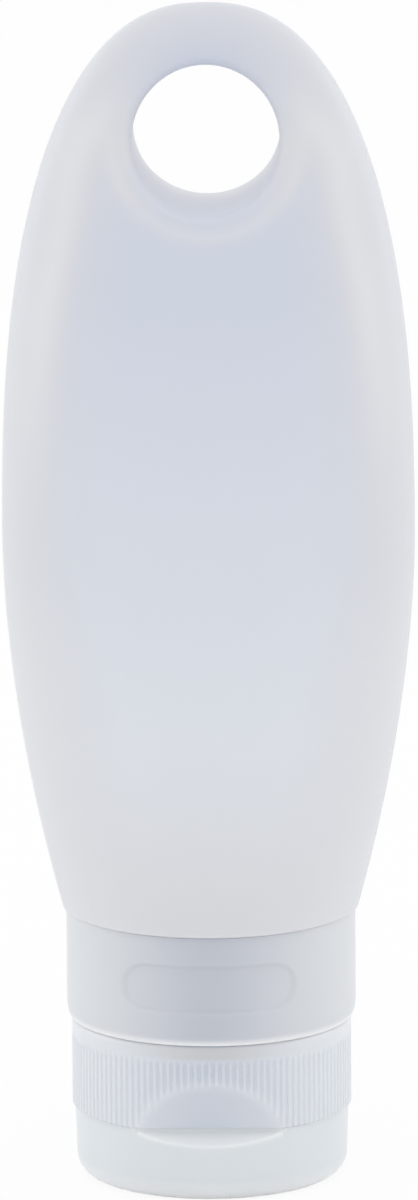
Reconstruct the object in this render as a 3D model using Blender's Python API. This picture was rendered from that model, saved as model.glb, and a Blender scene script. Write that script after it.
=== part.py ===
"""A travel squeeze bottle, standing upside down on its flip lid.

The soft silicone body is a lens with a round hanging hole through its thin end. Its neck is gripped
between a stiff collar and a threaded neck ring. A ribbed screw cap closes the neck and carries a slit
valve, and a flip lid on a living hinge shuts the spout.

Metres, +Z up, the front with the thumb notch towards -Y. The origin is the middle of the lid's flat
outer face, on which the bottle stands.
"""

import math

import bmesh
import bpy
from mathutils import Matrix, Vector

MM = 0.001

# Clearances and overruns
GAP = 0.3 * MM  # between each piece and the one it seats on
OVERRUN = 3.0 * MM  # how far a cutter runs past what it cuts

# Cap base
CAP_RADIUS = 17.0 * MM
CAP_HEIGHT = 10.6 * MM  # from the parting line with the lid to its open edge
CAP_WALL = 1.5 * MM
CAP_DECK = 1.7 * MM
CAP_EDGE_HEIGHT = 1.2 * MM  # round of the edge under the collar
CAP_EDGE_DEPTH = 0.35 * MM
BAND_HEIGHT = 1.5 * MM  # plain band above the ribs
RIB_COUNT = 124
RIB_DEPTH = 0.3 * MM
GROOVE_SHARE = 0.72  # of the rib pitch that the groove's mouth takes
GROOVE_FLOOR_SHARE = 0.4  # of the mouth that the groove's floor takes
ORIFICE_RADIUS = 3.4 * MM
SPOUT_WALL = 1.6 * MM
SPOUT_DROP = 2.6 * MM  # how far the spout stands out of the deck
SEAT_DEPTH = 2.9 * MM
SEAT_WALL = 1.2 * MM
SEAT_STEP = 2.7 * MM  # from the orifice to the seat's wall

# Lid
LID_HEIGHT = 8.9 * MM  # from the outer face to the parting line
LID_STEP = 0.35 * MM  # how far the lid stands back from the cap
LID_DRAFT = 0.2 * MM  # how much narrower the outer face is than the rim
LID_EDGE = 2.0 * MM  # round of the edge that it stands on
LID_WALL = 1.4 * MM
LID_FLOOR = 1.7 * MM
LID_INNER_ROUND = 1.0 * MM
PLUG_ROOM = 0.4 * MM  # between the plug and the orifice
PLUG_WALL = 0.9 * MM
PLUG_REACH = 2.1 * MM  # how far the plug enters the spout
PLUG_TIP = 0.5 * MM

# Thumb notch in the cap and the ledge that it bares on the lid
NOTCH_HEIGHT = 6.1 * MM
NOTCH_DEPTH = 2.6 * MM  # at the parting line
NOTCH_CURVE = 17.4 * MM  # radius of the hollow that the thumb meets
NOTCH_WALL = 1.0 * MM
LEDGE_SETBACK = 0.55 * MM  # of the ledge's root behind the notch's
LEDGE_DROP = 0.75 * MM  # of its root below the parting line
LEDGE_FALL = 1.25 * MM  # how much lower the ledge's outer edge lies than its root
LEDGE_BACKING = 1.4 * MM
LEDGE_BACKING_HEIGHT = 4.6 * MM

# Living hinge at the back
HINGE_LENGTH = 9.0 * MM
HINGE_RADIUS = 0.35 * MM
HINGE_INSET = 1.1 * MM  # of the flats on cap and lid
HINGE_POCKET_HEIGHT = 3.4 * MM
HINGE_SIDE_ROOM = 1.0 * MM

# Slit valve and the ring that holds it
VALVE_FLANGE = 0.9 * MM
VALVE_DIP = 0.65 * MM  # of its middle towards the spout
VALVE_SKIN = 0.6 * MM
RETAINER_HEIGHT = 1.1 * MM
RETAINER_STEP = 0.6 * MM  # how much wider its bore is than the orifice
RETAINER_CHAMFER = 0.4 * MM

# Gasket and neck ring
GASKET_HEIGHT = 1.0 * MM
GASKET_WIDTH = 1.5 * MM
NECK_STEP = 0.6 * MM  # how far the neck stands out past the gasket
NECK_WALL = 1.6 * MM
NECK_LIP = 0.3 * MM
FLANGE_HEIGHT = 1.1 * MM
SLEEVE_HEIGHT = 9.6 * MM
BARB = 0.25 * MM
BARB_COUNT = 3

# Collar
COLLAR_STEP = 0.58 * MM  # how far it stands out past the cap
COLLAR_HEIGHT = 13.6 * MM
COLLAR_WALL = 1.3 * MM
COLLAR_LIP_HEIGHT = 1.3 * MM
COLLAR_FOOT_HEIGHT = 2.1 * MM
COLLAR_FOOT_DEPTH = 0.7 * MM
COLLAR_TOP_EDGE = 0.25 * MM
PANEL_WIDTH = 21.4 * MM
PANEL_HEIGHT = 6.2 * MM
PANEL_MIDDLE = 7.1 * MM  # above the collar's lower edge
PANEL_DEPTH = 0.35 * MM

# Silicone body
BODY_WIDTH = 50.0 * MM
BODY_HEIGHT = 111.5 * MM  # from the seam with the collar to the top
BELLY_HEIGHT = 46.3 * MM  # of the widest place above the seam
FOOT_OVERHANG = 0.45 * MM  # how far the body stands out past the collar
FOOT_ROUND = 1.0 * MM
FOOT_POWER = 1.81  # how the sides swell from foot to belly
CROWN_RISE = 2.29  # the two powers of the crown's outline
CROWN_SPREAD = 2.45
TAPER_POWER = 1.27  # how the depth falls from the foot to the hole
ROUND_POWER = 2.0  # of a round cross section, at the foot
FLAT_POWER = 2.5  # of the flattened cross section, at the hole
HOLE_FROM_TOP = 15.5 * MM
HOLE_RADIUS = 8.9 * MM
HOLE_EDGE = 1.0 * MM
HOLE_LENGTH = 12.6 * MM  # the body's depth at the hole
TOP_ROUND = 7.0 * MM
BODY_WALL = 1.9 * MM
CROWN_WALL = 5.3 * MM  # from the hollow's highest place to the top
RING_WALL = 3.5 * MM  # of the solid ring round the hole
NECK_SKIN = 1.8 * MM  # of the silicone neck
SHOULDER = 2.6 * MM  # height over which the hollow opens out of the neck

# Facets
LARGE_STEPS = 64
HIDDEN_STEPS = 40
SMALL_STEPS = 32
BODY_STEPS = 48
HOLLOW_STEPS = 36
EDGE_STEPS = 3
NOTCH_STEPS = 8
BODY_LOW_STEPS = 7  # sections of the body below its widest place
BODY_HIGH_STEPS = 15
HOLLOW_LOW_STEPS = 5
HOLLOW_HIGH_STEPS = 11

# Heights that follow from the sizes above
PARTING_Z = LID_HEIGHT
LID_TOP_Z = PARTING_Z - GAP / 2
CAP_LOW_Z = PARTING_Z + GAP / 2
CAP_TOP_Z = PARTING_Z + CAP_HEIGHT
DECK_TOP_Z = CAP_LOW_Z + CAP_DECK
RIB_TOP_Z = CAP_TOP_Z - BAND_HEIGHT
SPOUT_LOW_Z = CAP_LOW_Z - SPOUT_DROP
SEAT_TOP_Z = DECK_TOP_Z + SEAT_DEPTH
VALVE_LOW_Z = DECK_TOP_Z + GAP
VALVE_TOP_Z = VALVE_LOW_Z + VALVE_FLANGE
GASKET_LOW_Z = DECK_TOP_Z + GAP
GASKET_TOP_Z = GASKET_LOW_Z + GASKET_HEIGHT
NECK_LOW_Z = GASKET_TOP_Z + GAP
COLLAR_LOW_Z = CAP_TOP_Z + GAP
COLLAR_TOP_Z = COLLAR_LOW_Z + COLLAR_HEIGHT
FLANGE_LOW_Z = COLLAR_LOW_Z + COLLAR_LIP_HEIGHT + GAP
FLANGE_TOP_Z = FLANGE_LOW_Z + FLANGE_HEIGHT
SLEEVE_TOP_Z = FLANGE_TOP_Z + SLEEVE_HEIGHT
SEAM_Z = COLLAR_TOP_Z + GAP
BODY_LOW_Z = FLANGE_TOP_Z + GAP
BODY_TOP_Z = SEAM_Z + BODY_HEIGHT
BELLY_Z = SEAM_Z + BELLY_HEIGHT
HOLE_Z = BODY_TOP_Z - HOLE_FROM_TOP

# Radii that follow from the sizes above, from the spout outwards
PLUG_RADIUS = ORIFICE_RADIUS - PLUG_ROOM
SPOUT_RADIUS = ORIFICE_RADIUS + SPOUT_WALL
RETAINER_BORE = ORIFICE_RADIUS + RETAINER_STEP
SEAT_BORE = ORIFICE_RADIUS + SEAT_STEP
SEAT_RADIUS = SEAT_BORE + SEAT_WALL
VALVE_RADIUS = SEAT_BORE - GAP
CAP_BORE = CAP_RADIUS - CAP_WALL
GASKET_RADIUS = CAP_RADIUS - NOTCH_DEPTH - NOTCH_WALL
NECK_RADIUS = GASKET_RADIUS + NECK_STEP
NECK_BORE = NECK_RADIUS - NECK_WALL
LID_RIM_RADIUS = CAP_RADIUS - LID_STEP
LID_FACE_RADIUS = LID_RIM_RADIUS - LID_DRAFT
COLLAR_RADIUS = CAP_RADIUS + COLLAR_STEP
COLLAR_BORE = COLLAR_RADIUS - COLLAR_WALL
BODY_NECK_RADIUS = COLLAR_BORE - GAP
BODY_NECK_BORE = BODY_NECK_RADIUS - NECK_SKIN
SLEEVE_RADIUS = BODY_NECK_BORE - GAP
FOOT_RADIUS = COLLAR_RADIUS + FOOT_OVERHANG
BODY_HALF_WIDTH = BODY_WIDTH / 2
HOLE_HALF_LENGTH = HOLE_LENGTH / 2
RING_RADIUS = HOLE_RADIUS + RING_WALL

# Places in front and behind
NOTCH_Y = NOTCH_DEPTH - CAP_RADIUS
LEDGE_Y = NOTCH_Y + LEDGE_SETBACK
HINGE_FLAT_Y = CAP_RADIUS - HINGE_INSET
HINGE_Y = HINGE_FLAT_Y + GAP + HINGE_RADIUS


def clear_scene():
    for existing in list(bpy.data.objects):
        bpy.data.objects.remove(existing, do_unlink=True)


def make_material(name, colour, roughness):
    material = bpy.data.materials.new(name)
    material.use_nodes = True
    shader = material.node_tree.nodes["Principled BSDF"]
    shader.inputs["Base Color"].default_value = (*colour, 1.0)
    shader.inputs["Roughness"].default_value = roughness
    shader.inputs["Metallic"].default_value = 0.0
    return material


def add_object(name, mesh_data, material=None):
    """Turns a bmesh into an object whose faces point out."""
    bmesh.ops.recalc_face_normals(mesh_data, faces=mesh_data.faces)
    mesh = bpy.data.meshes.new(name)
    mesh_data.to_mesh(mesh)
    mesh_data.free()
    mesh.shade_smooth()
    mesh.set_sharp_from_angle(angle=math.radians(35))
    piece = bpy.data.objects.new(name, mesh)
    bpy.context.scene.collection.objects.link(piece)
    if material:
        mesh.materials.append(material)
    return piece


def as_cutter(piece):
    piece.hide_render = True
    piece.display_type = "WIRE"
    return piece


def combine(piece, other, operation="DIFFERENCE", solver="EXACT"):
    """Adds a Boolean with another object, and hides that object."""
    modifier = piece.modifiers.new(f"{operation.lower()}_{other.name}", "BOOLEAN")
    modifier.operation = operation
    modifier.solver = solver
    modifier.object = as_cutter(other)
    return piece


def circle_points(radius, z, steps):
    turn = 2 * math.pi / steps
    return [(radius * math.cos(turn * i), radius * math.sin(turn * i), z) for i in range(steps)]


def arc_points(centre, across, up, start_degrees, end_degrees, steps=EDGE_STEPS):
    """Points along an arc of an ellipse with these half sizes, both ends included."""
    points = []
    for i in range(steps + 1):
        angle = math.radians(start_degrees + (end_degrees - start_degrees) * i / steps)
        points.append((centre[0] + across * math.cos(angle), centre[1] + up * math.sin(angle)))
    return points


def skin_rings(mesh_data, rings, closed_loop=False):
    """Joins rings of vertices with quads. A ring of one vertex is a pole."""
    pairs = list(zip(rings, rings[1:]))
    if closed_loop:
        pairs.append((rings[-1], rings[0]))
    for first, second in pairs:
        count = max(len(first), len(second))
        for i in range(count):
            following = (i + 1) % count
            corners = [first[i % len(first)], first[following % len(first)]]
            corners += [second[following % len(second)], second[i % len(second)]]
            mesh_data.faces.new(list(dict.fromkeys(corners)))


def turned(name, profile, steps, material=None):
    """A solid of revolution about Z from a closed profile of (radius, height) points.

    A profile that starts and ends on the axis is closed there by poles, and any other is a ring.
    """
    mesh_data = bmesh.new()
    rings = []
    for radius, z in profile:
        points = [(0, 0, z)] if radius == 0 else circle_points(radius, z, steps)
        rings.append([mesh_data.verts.new(point) for point in points])
    skin_rings(mesh_data, rings, closed_loop=profile[0][0] != 0)
    return add_object(name, mesh_data, material)


def lofted(name, sections, material=None):
    """A closed solid through cross sections, whose end sections are capped or poles."""
    mesh_data = bmesh.new()
    rings = [[mesh_data.verts.new(point) for point in section] for section in sections]
    skin_rings(mesh_data, rings)
    for ring in (rings[0], rings[-1]):
        if len(ring) > 1:
            mesh_data.faces.new(ring)
    return add_object(name, mesh_data, material)


def prism(name, outline, half_width):
    """A solid along X from a closed outline of (y, z) points."""
    sections = [[(x, y, z) for y, z in outline] for x in (-half_width, half_width)]
    return lofted(name, sections)


# Cap lid


def make_lid(material):
    """The flip lid: a shallow cup with a sealing plug, a thumb ledge and a flat for the hinge."""
    outside = [(0, 0)]
    edge = (LID_FACE_RADIUS - LID_EDGE, LID_EDGE)
    outside += arc_points(edge, LID_EDGE, LID_EDGE, -90, 0, 2 * EDGE_STEPS)
    outside += [(LID_RIM_RADIUS, LID_TOP_Z), (0, LID_TOP_Z)]
    lid = turned("cap_lid", outside, LARGE_STEPS, material)

    bore = LID_RIM_RADIUS - LID_WALL
    plug_top = SPOUT_LOW_Z + PLUG_REACH
    plug_bore = PLUG_RADIUS - PLUG_WALL
    inside = [(0, LID_FLOOR), (plug_bore, LID_FLOOR), (plug_bore, plug_top)]
    inside += [(PLUG_RADIUS - PLUG_TIP, plug_top), (PLUG_RADIUS, plug_top - PLUG_TIP)]
    inside += [(PLUG_RADIUS, LID_FLOOR)]
    corner = (bore - LID_INNER_ROUND, LID_FLOOR + LID_INNER_ROUND)
    inside += arc_points(corner, LID_INNER_ROUND, LID_INNER_ROUND, -90, 0)
    inside += [(bore, LID_TOP_Z + OVERRUN), (0, LID_TOP_Z + OVERRUN)]
    hollow = turned("lid_hollow", inside, HIDDEN_STEPS)

    backing_y = LEDGE_Y + LEDGE_BACKING
    backing_low = LID_TOP_Z - LEDGE_BACKING_HEIGHT
    backing = [
        (-LID_RIM_RADIUS, backing_low - LEDGE_BACKING),
        (backing_y, backing_low),
        (backing_y, LID_TOP_Z + 2 * OVERRUN),
        (-LID_RIM_RADIUS, LID_TOP_Z + 2 * OVERRUN),
    ]
    combine(hollow, prism("ledge_backing", backing, CAP_RADIUS))
    combine(lid, hollow)

    root_z = PARTING_Z - LEDGE_DROP
    slope = LEDGE_FALL / (LID_RIM_RADIUS + LEDGE_Y)
    outer_y = -LID_RIM_RADIUS - OVERRUN
    above_ledge = [
        (LEDGE_Y, root_z),
        (LEDGE_Y, PARTING_Z + OVERRUN),
        (outer_y, PARTING_Z + OVERRUN),
        (outer_y, root_z + slope * (outer_y - LEDGE_Y)),
    ]
    combine(lid, prism("ledge_cut", above_ledge, CAP_RADIUS))
    combine(lid, hinge_flat("lid_hinge_cut", PARTING_Z - HINGE_POCKET_HEIGHT, PARTING_Z + OVERRUN))
    return lid


# Cap base


def make_cap(material):
    """The ribbed screw cap with its deck, spout, valve seat and thumb notch."""
    outside = [(0, CAP_LOW_Z), (CAP_RADIUS, CAP_LOW_Z)]
    edge = (CAP_RADIUS - CAP_EDGE_DEPTH, CAP_TOP_Z - CAP_EDGE_HEIGHT)
    outside += arc_points(edge, CAP_EDGE_DEPTH, CAP_EDGE_HEIGHT, 0, 90, EDGE_STEPS - 1)
    outside += [(0, CAP_TOP_Z)]
    cap = turned("cap_base", outside, RIB_COUNT, material)
    spout = [(0, SPOUT_LOW_Z), (SPOUT_RADIUS, SPOUT_LOW_Z), (SPOUT_RADIUS, DECK_TOP_Z), (0, DECK_TOP_Z)]
    combine(cap, turned("spout", spout, SMALL_STEPS), "UNION", "MANIFOLD")

    inside = [
        (0, SPOUT_LOW_Z - OVERRUN),
        (ORIFICE_RADIUS, SPOUT_LOW_Z - OVERRUN),
        (ORIFICE_RADIUS, DECK_TOP_Z),
        (SEAT_BORE, DECK_TOP_Z),
        (SEAT_BORE, SEAT_TOP_Z),
        (SEAT_RADIUS, SEAT_TOP_Z),
        (SEAT_RADIUS, DECK_TOP_Z),
        (CAP_BORE, DECK_TOP_Z),
        (CAP_BORE, CAP_TOP_Z + OVERRUN),
        (0, CAP_TOP_Z + OVERRUN),
    ]
    hollow = turned("cap_hollow", inside, HIDDEN_STEPS)
    combine(hollow, notch_prism("notch_backing", NOTCH_WALL))
    combine(cap, hollow)
    combine(cap, rib_grooves())
    combine(cap, notch_prism("notch_cut", 0))
    combine(cap, hinge_flat("cap_hinge_cut", PARTING_Z - OVERRUN, PARTING_Z + HINGE_POCKET_HEIGHT))
    return cap


def notch_prism(name, inset):
    """What lies in front of the notch's curved hollow, when that is moved inwards by inset."""
    root = Vector((NOTCH_Y, PARTING_Z))
    apex = Vector((-CAP_RADIUS, PARTING_Z + NOTCH_HEIGHT))
    chord = apex - root
    rise = math.sqrt(NOTCH_CURVE**2 - (chord.length / 2) ** 2)
    centre = (root + apex) / 2 + chord.orthogonal().normalized() * rise
    apex_angle = math.degrees(math.atan2(apex.y - centre.y, apex.x - centre.x))
    radius = NOTCH_CURVE + inset
    curve = arc_points(centre, radius, radius, 0, apex_angle + 12, NOTCH_STEPS)
    return prism(name, [*curve, (centre.x, curve[-1][1]), (centre.x, centre.y)], CAP_RADIUS)


def rib_grooves():
    """One narrow groove between each two ribs, with a sloping run-out under the plain band."""
    mesh_data = bmesh.new()
    pitch = 2 * math.pi / RIB_COUNT
    half_mouth = pitch * GROOVE_SHARE / 2
    half_floor = half_mouth * GROOVE_FLOOR_SHARE
    floor_radius = CAP_RADIUS - RIB_DEPTH
    outer_radius = CAP_RADIUS + RIB_DEPTH
    half_outer = 2 * half_mouth - half_floor
    levels = (
        (CAP_LOW_Z - OVERRUN, floor_radius),
        (RIB_TOP_Z - RIB_DEPTH, floor_radius),
        (RIB_TOP_Z, CAP_RADIUS),
    )
    for i in range(RIB_COUNT):
        middle = pitch * (i + 1 / 2)
        rings = []
        for z, inner_radius in levels:
            corners = [(inner_radius, -half_floor), (inner_radius, half_floor)]
            corners += [(outer_radius, half_outer), (outer_radius, -half_outer)]
            ring = []
            for radius, aside in corners:
                angle = middle + aside
                ring.append(mesh_data.verts.new((radius * math.cos(angle), radius * math.sin(angle), z)))
            rings.append(ring)
        skin_rings(mesh_data, rings)
        mesh_data.faces.new(rings[0])
        mesh_data.faces.new(rings[-1])
    return add_object("rib_grooves", mesh_data)


# Hinge


def hinge_flat(name, low_z, high_z):
    """Cuts a flat behind the hinge, a little wider than the web."""
    outline = [
        (HINGE_FLAT_Y, low_z),
        (CAP_RADIUS + OVERRUN, low_z),
        (CAP_RADIUS + OVERRUN, high_z),
        (HINGE_FLAT_Y, high_z),
    ]
    return prism(name, outline, HINGE_LENGTH / 2 + HINGE_SIDE_ROOM)


def make_hinge(material):
    """The bead of the living hinge, a thin rod on the axis that the lid turns about."""
    ends = (-HINGE_LENGTH / 2, HINGE_LENGTH / 2)
    rings = []
    for x in ends:
        circle = circle_points(HINGE_RADIUS, 0, SMALL_STEPS // 2)
        rings.append([(x, HINGE_Y + a, PARTING_Z + b) for a, b, _ in circle])
    return lofted("living_hinge", rings, material)


# Valve, its ring and the gasket


def make_valve(material):
    """A flanged silicone disc whose thin middle dips towards the spout."""
    dip_z = VALVE_LOW_Z - VALVE_DIP
    bend_radius = ORIFICE_RADIUS / 2
    bend_z = VALVE_LOW_Z - VALVE_DIP * 2 / 3
    profile = [
        (0, dip_z),
        (bend_radius, bend_z),
        (ORIFICE_RADIUS - GAP, VALVE_LOW_Z),
        (VALVE_RADIUS, VALVE_LOW_Z),
        (VALVE_RADIUS, VALVE_TOP_Z),
        (RETAINER_BORE - GAP, VALVE_TOP_Z),
        (RETAINER_BORE - 2 * GAP, VALVE_LOW_Z + VALVE_SKIN),
        (ORIFICE_RADIUS - 2 * GAP, VALVE_LOW_Z + VALVE_SKIN),
        (bend_radius, bend_z + VALVE_SKIN),
        (0, dip_z + VALVE_SKIN),
    ]
    return turned("slit_valve", profile, SMALL_STEPS, material)


def make_retainer(material):
    """The ring that clips over the valve's flange inside its seat."""
    low_z = VALVE_TOP_Z + GAP
    high_z = low_z + RETAINER_HEIGHT
    profile = [
        (RETAINER_BORE, low_z),
        (VALVE_RADIUS, low_z),
        (VALVE_RADIUS, high_z),
        (RETAINER_BORE + RETAINER_CHAMFER, high_z),
        (RETAINER_BORE, high_z - RETAINER_CHAMFER),
    ]
    return turned("valve_retainer", profile, SMALL_STEPS, material)


def make_gasket(material):
    profile = [
        (GASKET_RADIUS - GASKET_WIDTH, GASKET_LOW_Z),
        (GASKET_RADIUS, GASKET_LOW_Z),
        (GASKET_RADIUS, GASKET_TOP_Z),
        (GASKET_RADIUS - GASKET_WIDTH, GASKET_TOP_Z),
    ]
    return turned("cap_gasket", profile, HIDDEN_STEPS, material)


# Neck ring and collar


def make_neck(material):
    """The stiff neck: a tube for the cap's thread, a flange, and a barbed sleeve inside the silicone."""
    profile = [(NECK_BORE, NECK_LOW_Z + NECK_LIP), (NECK_BORE + NECK_LIP, NECK_LOW_Z)]
    profile += [(NECK_RADIUS - NECK_LIP, NECK_LOW_Z), (NECK_RADIUS, NECK_LOW_Z + NECK_LIP)]
    profile += [(NECK_RADIUS, FLANGE_LOW_Z), (BODY_NECK_RADIUS, FLANGE_LOW_Z)]
    profile += [(BODY_NECK_RADIUS, FLANGE_TOP_Z), (SLEEVE_RADIUS - BARB, FLANGE_TOP_Z)]
    pitch = SLEEVE_HEIGHT / BARB_COUNT
    for i in range(BARB_COUNT):
        root_z = FLANGE_TOP_Z + pitch * i
        profile += [(SLEEVE_RADIUS, root_z + pitch / 4), (SLEEVE_RADIUS - BARB, root_z + pitch)]
    profile += [(NECK_BORE, SLEEVE_TOP_Z)]
    return turned("neck_ring", profile, HIDDEN_STEPS, material)


def make_collar(material):
    """The smooth stiff collar, with a lip under the neck's flange and a bare panel in front."""
    neck_hole = NECK_RADIUS + GAP
    lip_top = COLLAR_LOW_Z + COLLAR_LIP_HEIGHT
    foot_radius = COLLAR_RADIUS - COLLAR_FOOT_DEPTH
    foot_centre = (foot_radius, COLLAR_LOW_Z + COLLAR_FOOT_HEIGHT)
    profile = [(neck_hole, COLLAR_LOW_Z)]
    profile += arc_points(foot_centre, COLLAR_FOOT_DEPTH, COLLAR_FOOT_HEIGHT, -90, 0, EDGE_STEPS + 1)
    profile += [(COLLAR_RADIUS, COLLAR_TOP_Z - COLLAR_TOP_EDGE)]
    profile += [(COLLAR_RADIUS - COLLAR_TOP_EDGE, COLLAR_TOP_Z), (COLLAR_BORE, COLLAR_TOP_Z)]
    profile += [(COLLAR_BORE, lip_top), (neck_hole, lip_top)]
    collar = turned("collar", profile, LARGE_STEPS, material)
    return combine(collar, panel_recess())


def panel_recess():
    """A stadium as deep as the panel, wrapped round the collar's front."""
    middle_z = COLLAR_LOW_Z + PANEL_MIDDLE
    half_height = PANEL_HEIGHT / 2
    straight = (PANEL_WIDTH - PANEL_HEIGHT) / 2
    outline = []
    for side in (1, -1):
        for i in range(3 * EDGE_STEPS + 1):
            angle = side * math.radians(90) - math.pi * i / (3 * EDGE_STEPS)
            x = side * straight + half_height * math.cos(angle)
            outline.append((x, middle_z + half_height * math.sin(angle)))
    sections = [[(x, y, z) for x, z in outline] for y in (-COLLAR_RADIUS - OVERRUN, -COLLAR_RADIUS / 2)]
    stadium = lofted("panel_stadium", sections)
    floor_radius = COLLAR_RADIUS - PANEL_DEPTH
    shell = [
        (floor_radius, middle_z - PANEL_HEIGHT),
        (COLLAR_RADIUS + 2 * OVERRUN, middle_z - PANEL_HEIGHT),
        (COLLAR_RADIUS + 2 * OVERRUN, middle_z + PANEL_HEIGHT),
        (floor_radius, middle_z + PANEL_HEIGHT),
    ]
    return combine(stadium, turned("panel_shell", shell, LARGE_STEPS), "INTERSECT")


# Silicone body


def crown(share):
    """Half width over its greatest, for a share of the height from belly to top."""
    return (1 - share**CROWN_RISE) ** (1 / CROWN_SPREAD)


def half_width(z, wall=0, top_wall=0):
    """Half the body's width at a height, drawn in by a wall."""
    if z < BELLY_Z:
        share = (BELLY_Z - z) / BELLY_HEIGHT
        return BODY_HALF_WIDTH - wall - (BODY_HALF_WIDTH - FOOT_RADIUS) * share**FOOT_POWER
    share = (z - BELLY_Z) / (BODY_TOP_Z - top_wall - BELLY_Z)
    return (BODY_HALF_WIDTH - wall) * crown(min(share, 1))


def half_depth(z, wall=0, top_wall=0):
    """Half the body's depth at a height: a taper from round foot to thin end, rounded off at the top."""
    share = (z - SEAM_Z) / (HOLE_Z - SEAM_Z)
    taper = HOLE_HALF_LENGTH + (FOOT_RADIUS - HOLE_HALF_LENGTH) * (1 - share**TAPER_POWER)
    top = BODY_TOP_Z - top_wall
    over = max(0, z - (top - TOP_ROUND)) / TOP_ROUND
    return (taper - wall) * math.sqrt(max(0, 1 - over**2))


def section_power(z):
    """The power of the cross section, from round at the foot to flattened at the hole."""
    share = (z - SEAM_Z) / (HOLE_Z - SEAM_Z)
    return ROUND_POWER + (FLAT_POWER - ROUND_POWER) * min(1, share)


def section(width, depth, power, z, steps):
    """A flattened circle of points at a height."""
    points = []
    for i in range(steps):
        angle = 2 * math.pi * i / steps
        across = math.cos(angle)
        along = math.sin(angle)
        x = width * math.copysign(abs(across) ** (2 / power), across)
        y = depth * math.copysign(abs(along) ** (2 / power), along)
        points.append((x, y, z))
    return points


def lens_sections(low_z, wall, top_wall, steps, lower_count, upper_count):
    """Cross sections of the body or its hollow from a height up to the pole at the top."""
    top = BODY_TOP_Z - top_wall
    heights = [low_z + (BELLY_Z - low_z) * i / lower_count for i in range(lower_count)]
    for i in range(upper_count):
        angle = math.pi / 2 * i / upper_count
        heights.append(BELLY_Z + (top - BELLY_Z) * math.sin(angle) ** (2 / CROWN_RISE))
    sections = []
    for z in heights:
        width = half_width(z, wall, top_wall)
        sections.append(section(width, half_depth(z, wall, top_wall), section_power(z), z, steps))
    return [*sections, [(0, 0, top)]]


def make_body(material):
    """The silicone shell, open at its neck, with a hole through the thin end."""
    sections = [circle_points(BODY_NECK_RADIUS, z, BODY_STEPS) for z in (BODY_LOW_Z, SEAM_Z)]
    start_z = SEAM_Z + FOOT_ROUND
    start_radius = half_width(start_z)
    for radius, z in arc_points((start_radius - FOOT_ROUND, start_z), FOOT_ROUND, FOOT_ROUND, -90, 0)[:-1]:
        sections.append(circle_points(radius, z, BODY_STEPS))
    sections += lens_sections(start_z, 0, 0, BODY_STEPS, BODY_LOW_STEPS, BODY_HIGH_STEPS)
    body = lofted("bottle_body", sections, material)

    low_z = BODY_LOW_Z - OVERRUN
    neck = [circle_points(BODY_NECK_BORE, z, HOLLOW_STEPS) for z in (low_z, SEAM_Z + FOOT_ROUND)]
    opened_z = SEAM_Z + FOOT_ROUND + SHOULDER
    counts = (HOLLOW_STEPS, HOLLOW_LOW_STEPS, HOLLOW_HIGH_STEPS)
    hollow = lofted("body_hollow", neck + lens_sections(opened_z, BODY_WALL, CROWN_WALL, *counts))
    combine(hollow, hole_ring())
    combine(body, hollow)
    return combine(body, hanging_hole())


def hole_ring():
    """The solid ring round the hanging hole, which the hollow goes round."""
    reach = FOOT_RADIUS
    rings = []
    for y in (-reach, reach):
        rings.append([(x, y, HOLE_Z + z) for x, z, _ in circle_points(RING_RADIUS, 0, BODY_STEPS)])
    return lofted("hole_ring", rings)


def surface_depth(x, z):
    """Half the body's depth at a point of its front view."""
    power = section_power(z)
    across = min(1, abs(x) / half_width(z))
    return half_depth(z) * (1 - across**power) ** (1 / power)


def hanging_hole():
    """A round hole whose rounded edges follow the body's curved faces."""
    mouth = HOLE_RADIUS + HOLE_EDGE
    outer_y = HOLE_HALF_LENGTH + OVERRUN
    profile = [(mouth, None)]
    profile += arc_points((mouth, -HOLE_EDGE), HOLE_EDGE, HOLE_EDGE, 90, 180)
    rings = []
    for side in (-1, 1):
        half = []
        for radius, inward in profile:
            ring = []
            for i in range(BODY_STEPS):
                angle = 2 * math.pi * i / BODY_STEPS
                across = math.cos(angle)
                up = math.sin(angle)
                face = surface_depth(mouth * across, HOLE_Z + mouth * up)
                y = outer_y if inward is None else face + inward
                ring.append((radius * across, side * y, HOLE_Z + radius * up))
            half.append(ring)
        rings += half if side < 0 else half[::-1]
    return lofted("hanging_hole", rings)


def add_axis(name, location):
    """An empty on a joint's axis, which carries the pieces that move."""
    axis = bpy.data.objects.new(name, None)
    axis.location = location
    axis.empty_display_size = LID_HEIGHT
    bpy.context.scene.collection.objects.link(axis)
    return axis


def carry(axis, pieces):
    for piece in pieces:
        piece.parent = axis
        piece.matrix_parent_inverse = Matrix.Translation(axis.location).inverted()


def main():
    clear_scene()
    silicone = make_material("frosted_silicone", (0.72, 0.75, 0.82), 0.45)
    polypropylene = make_material("translucent_polypropylene", (0.80, 0.83, 0.86), 0.30)
    neck_plastic = make_material("neck_polypropylene", (0.86, 0.88, 0.90), 0.35)
    seal = make_material("clear_silicone", (0.85, 0.86, 0.88), 0.40)

    make_cap(polypropylene)
    make_valve(seal)
    make_retainer(neck_plastic)
    make_hinge(polypropylene)

    lid_axis = add_axis("lid_hinge_axis", (0, HINGE_Y, PARTING_Z))
    carry(lid_axis, [make_lid(polypropylene)])

    thread_axis = add_axis("thread_axis", (0, 0, NECK_LOW_Z))
    moving = [make_gasket(seal), make_neck(neck_plastic), make_collar(polypropylene), make_body(silicone)]
    carry(thread_axis, moving)


main()
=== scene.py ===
"""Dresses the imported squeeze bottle: frosted silicone body, stiff collar, ribbed cap and flip lid.

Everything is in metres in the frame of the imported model: +Z up, the front with the thumb notch towards -Y,
and the origin in the middle of the lid's outer face.
"""

import math

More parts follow.
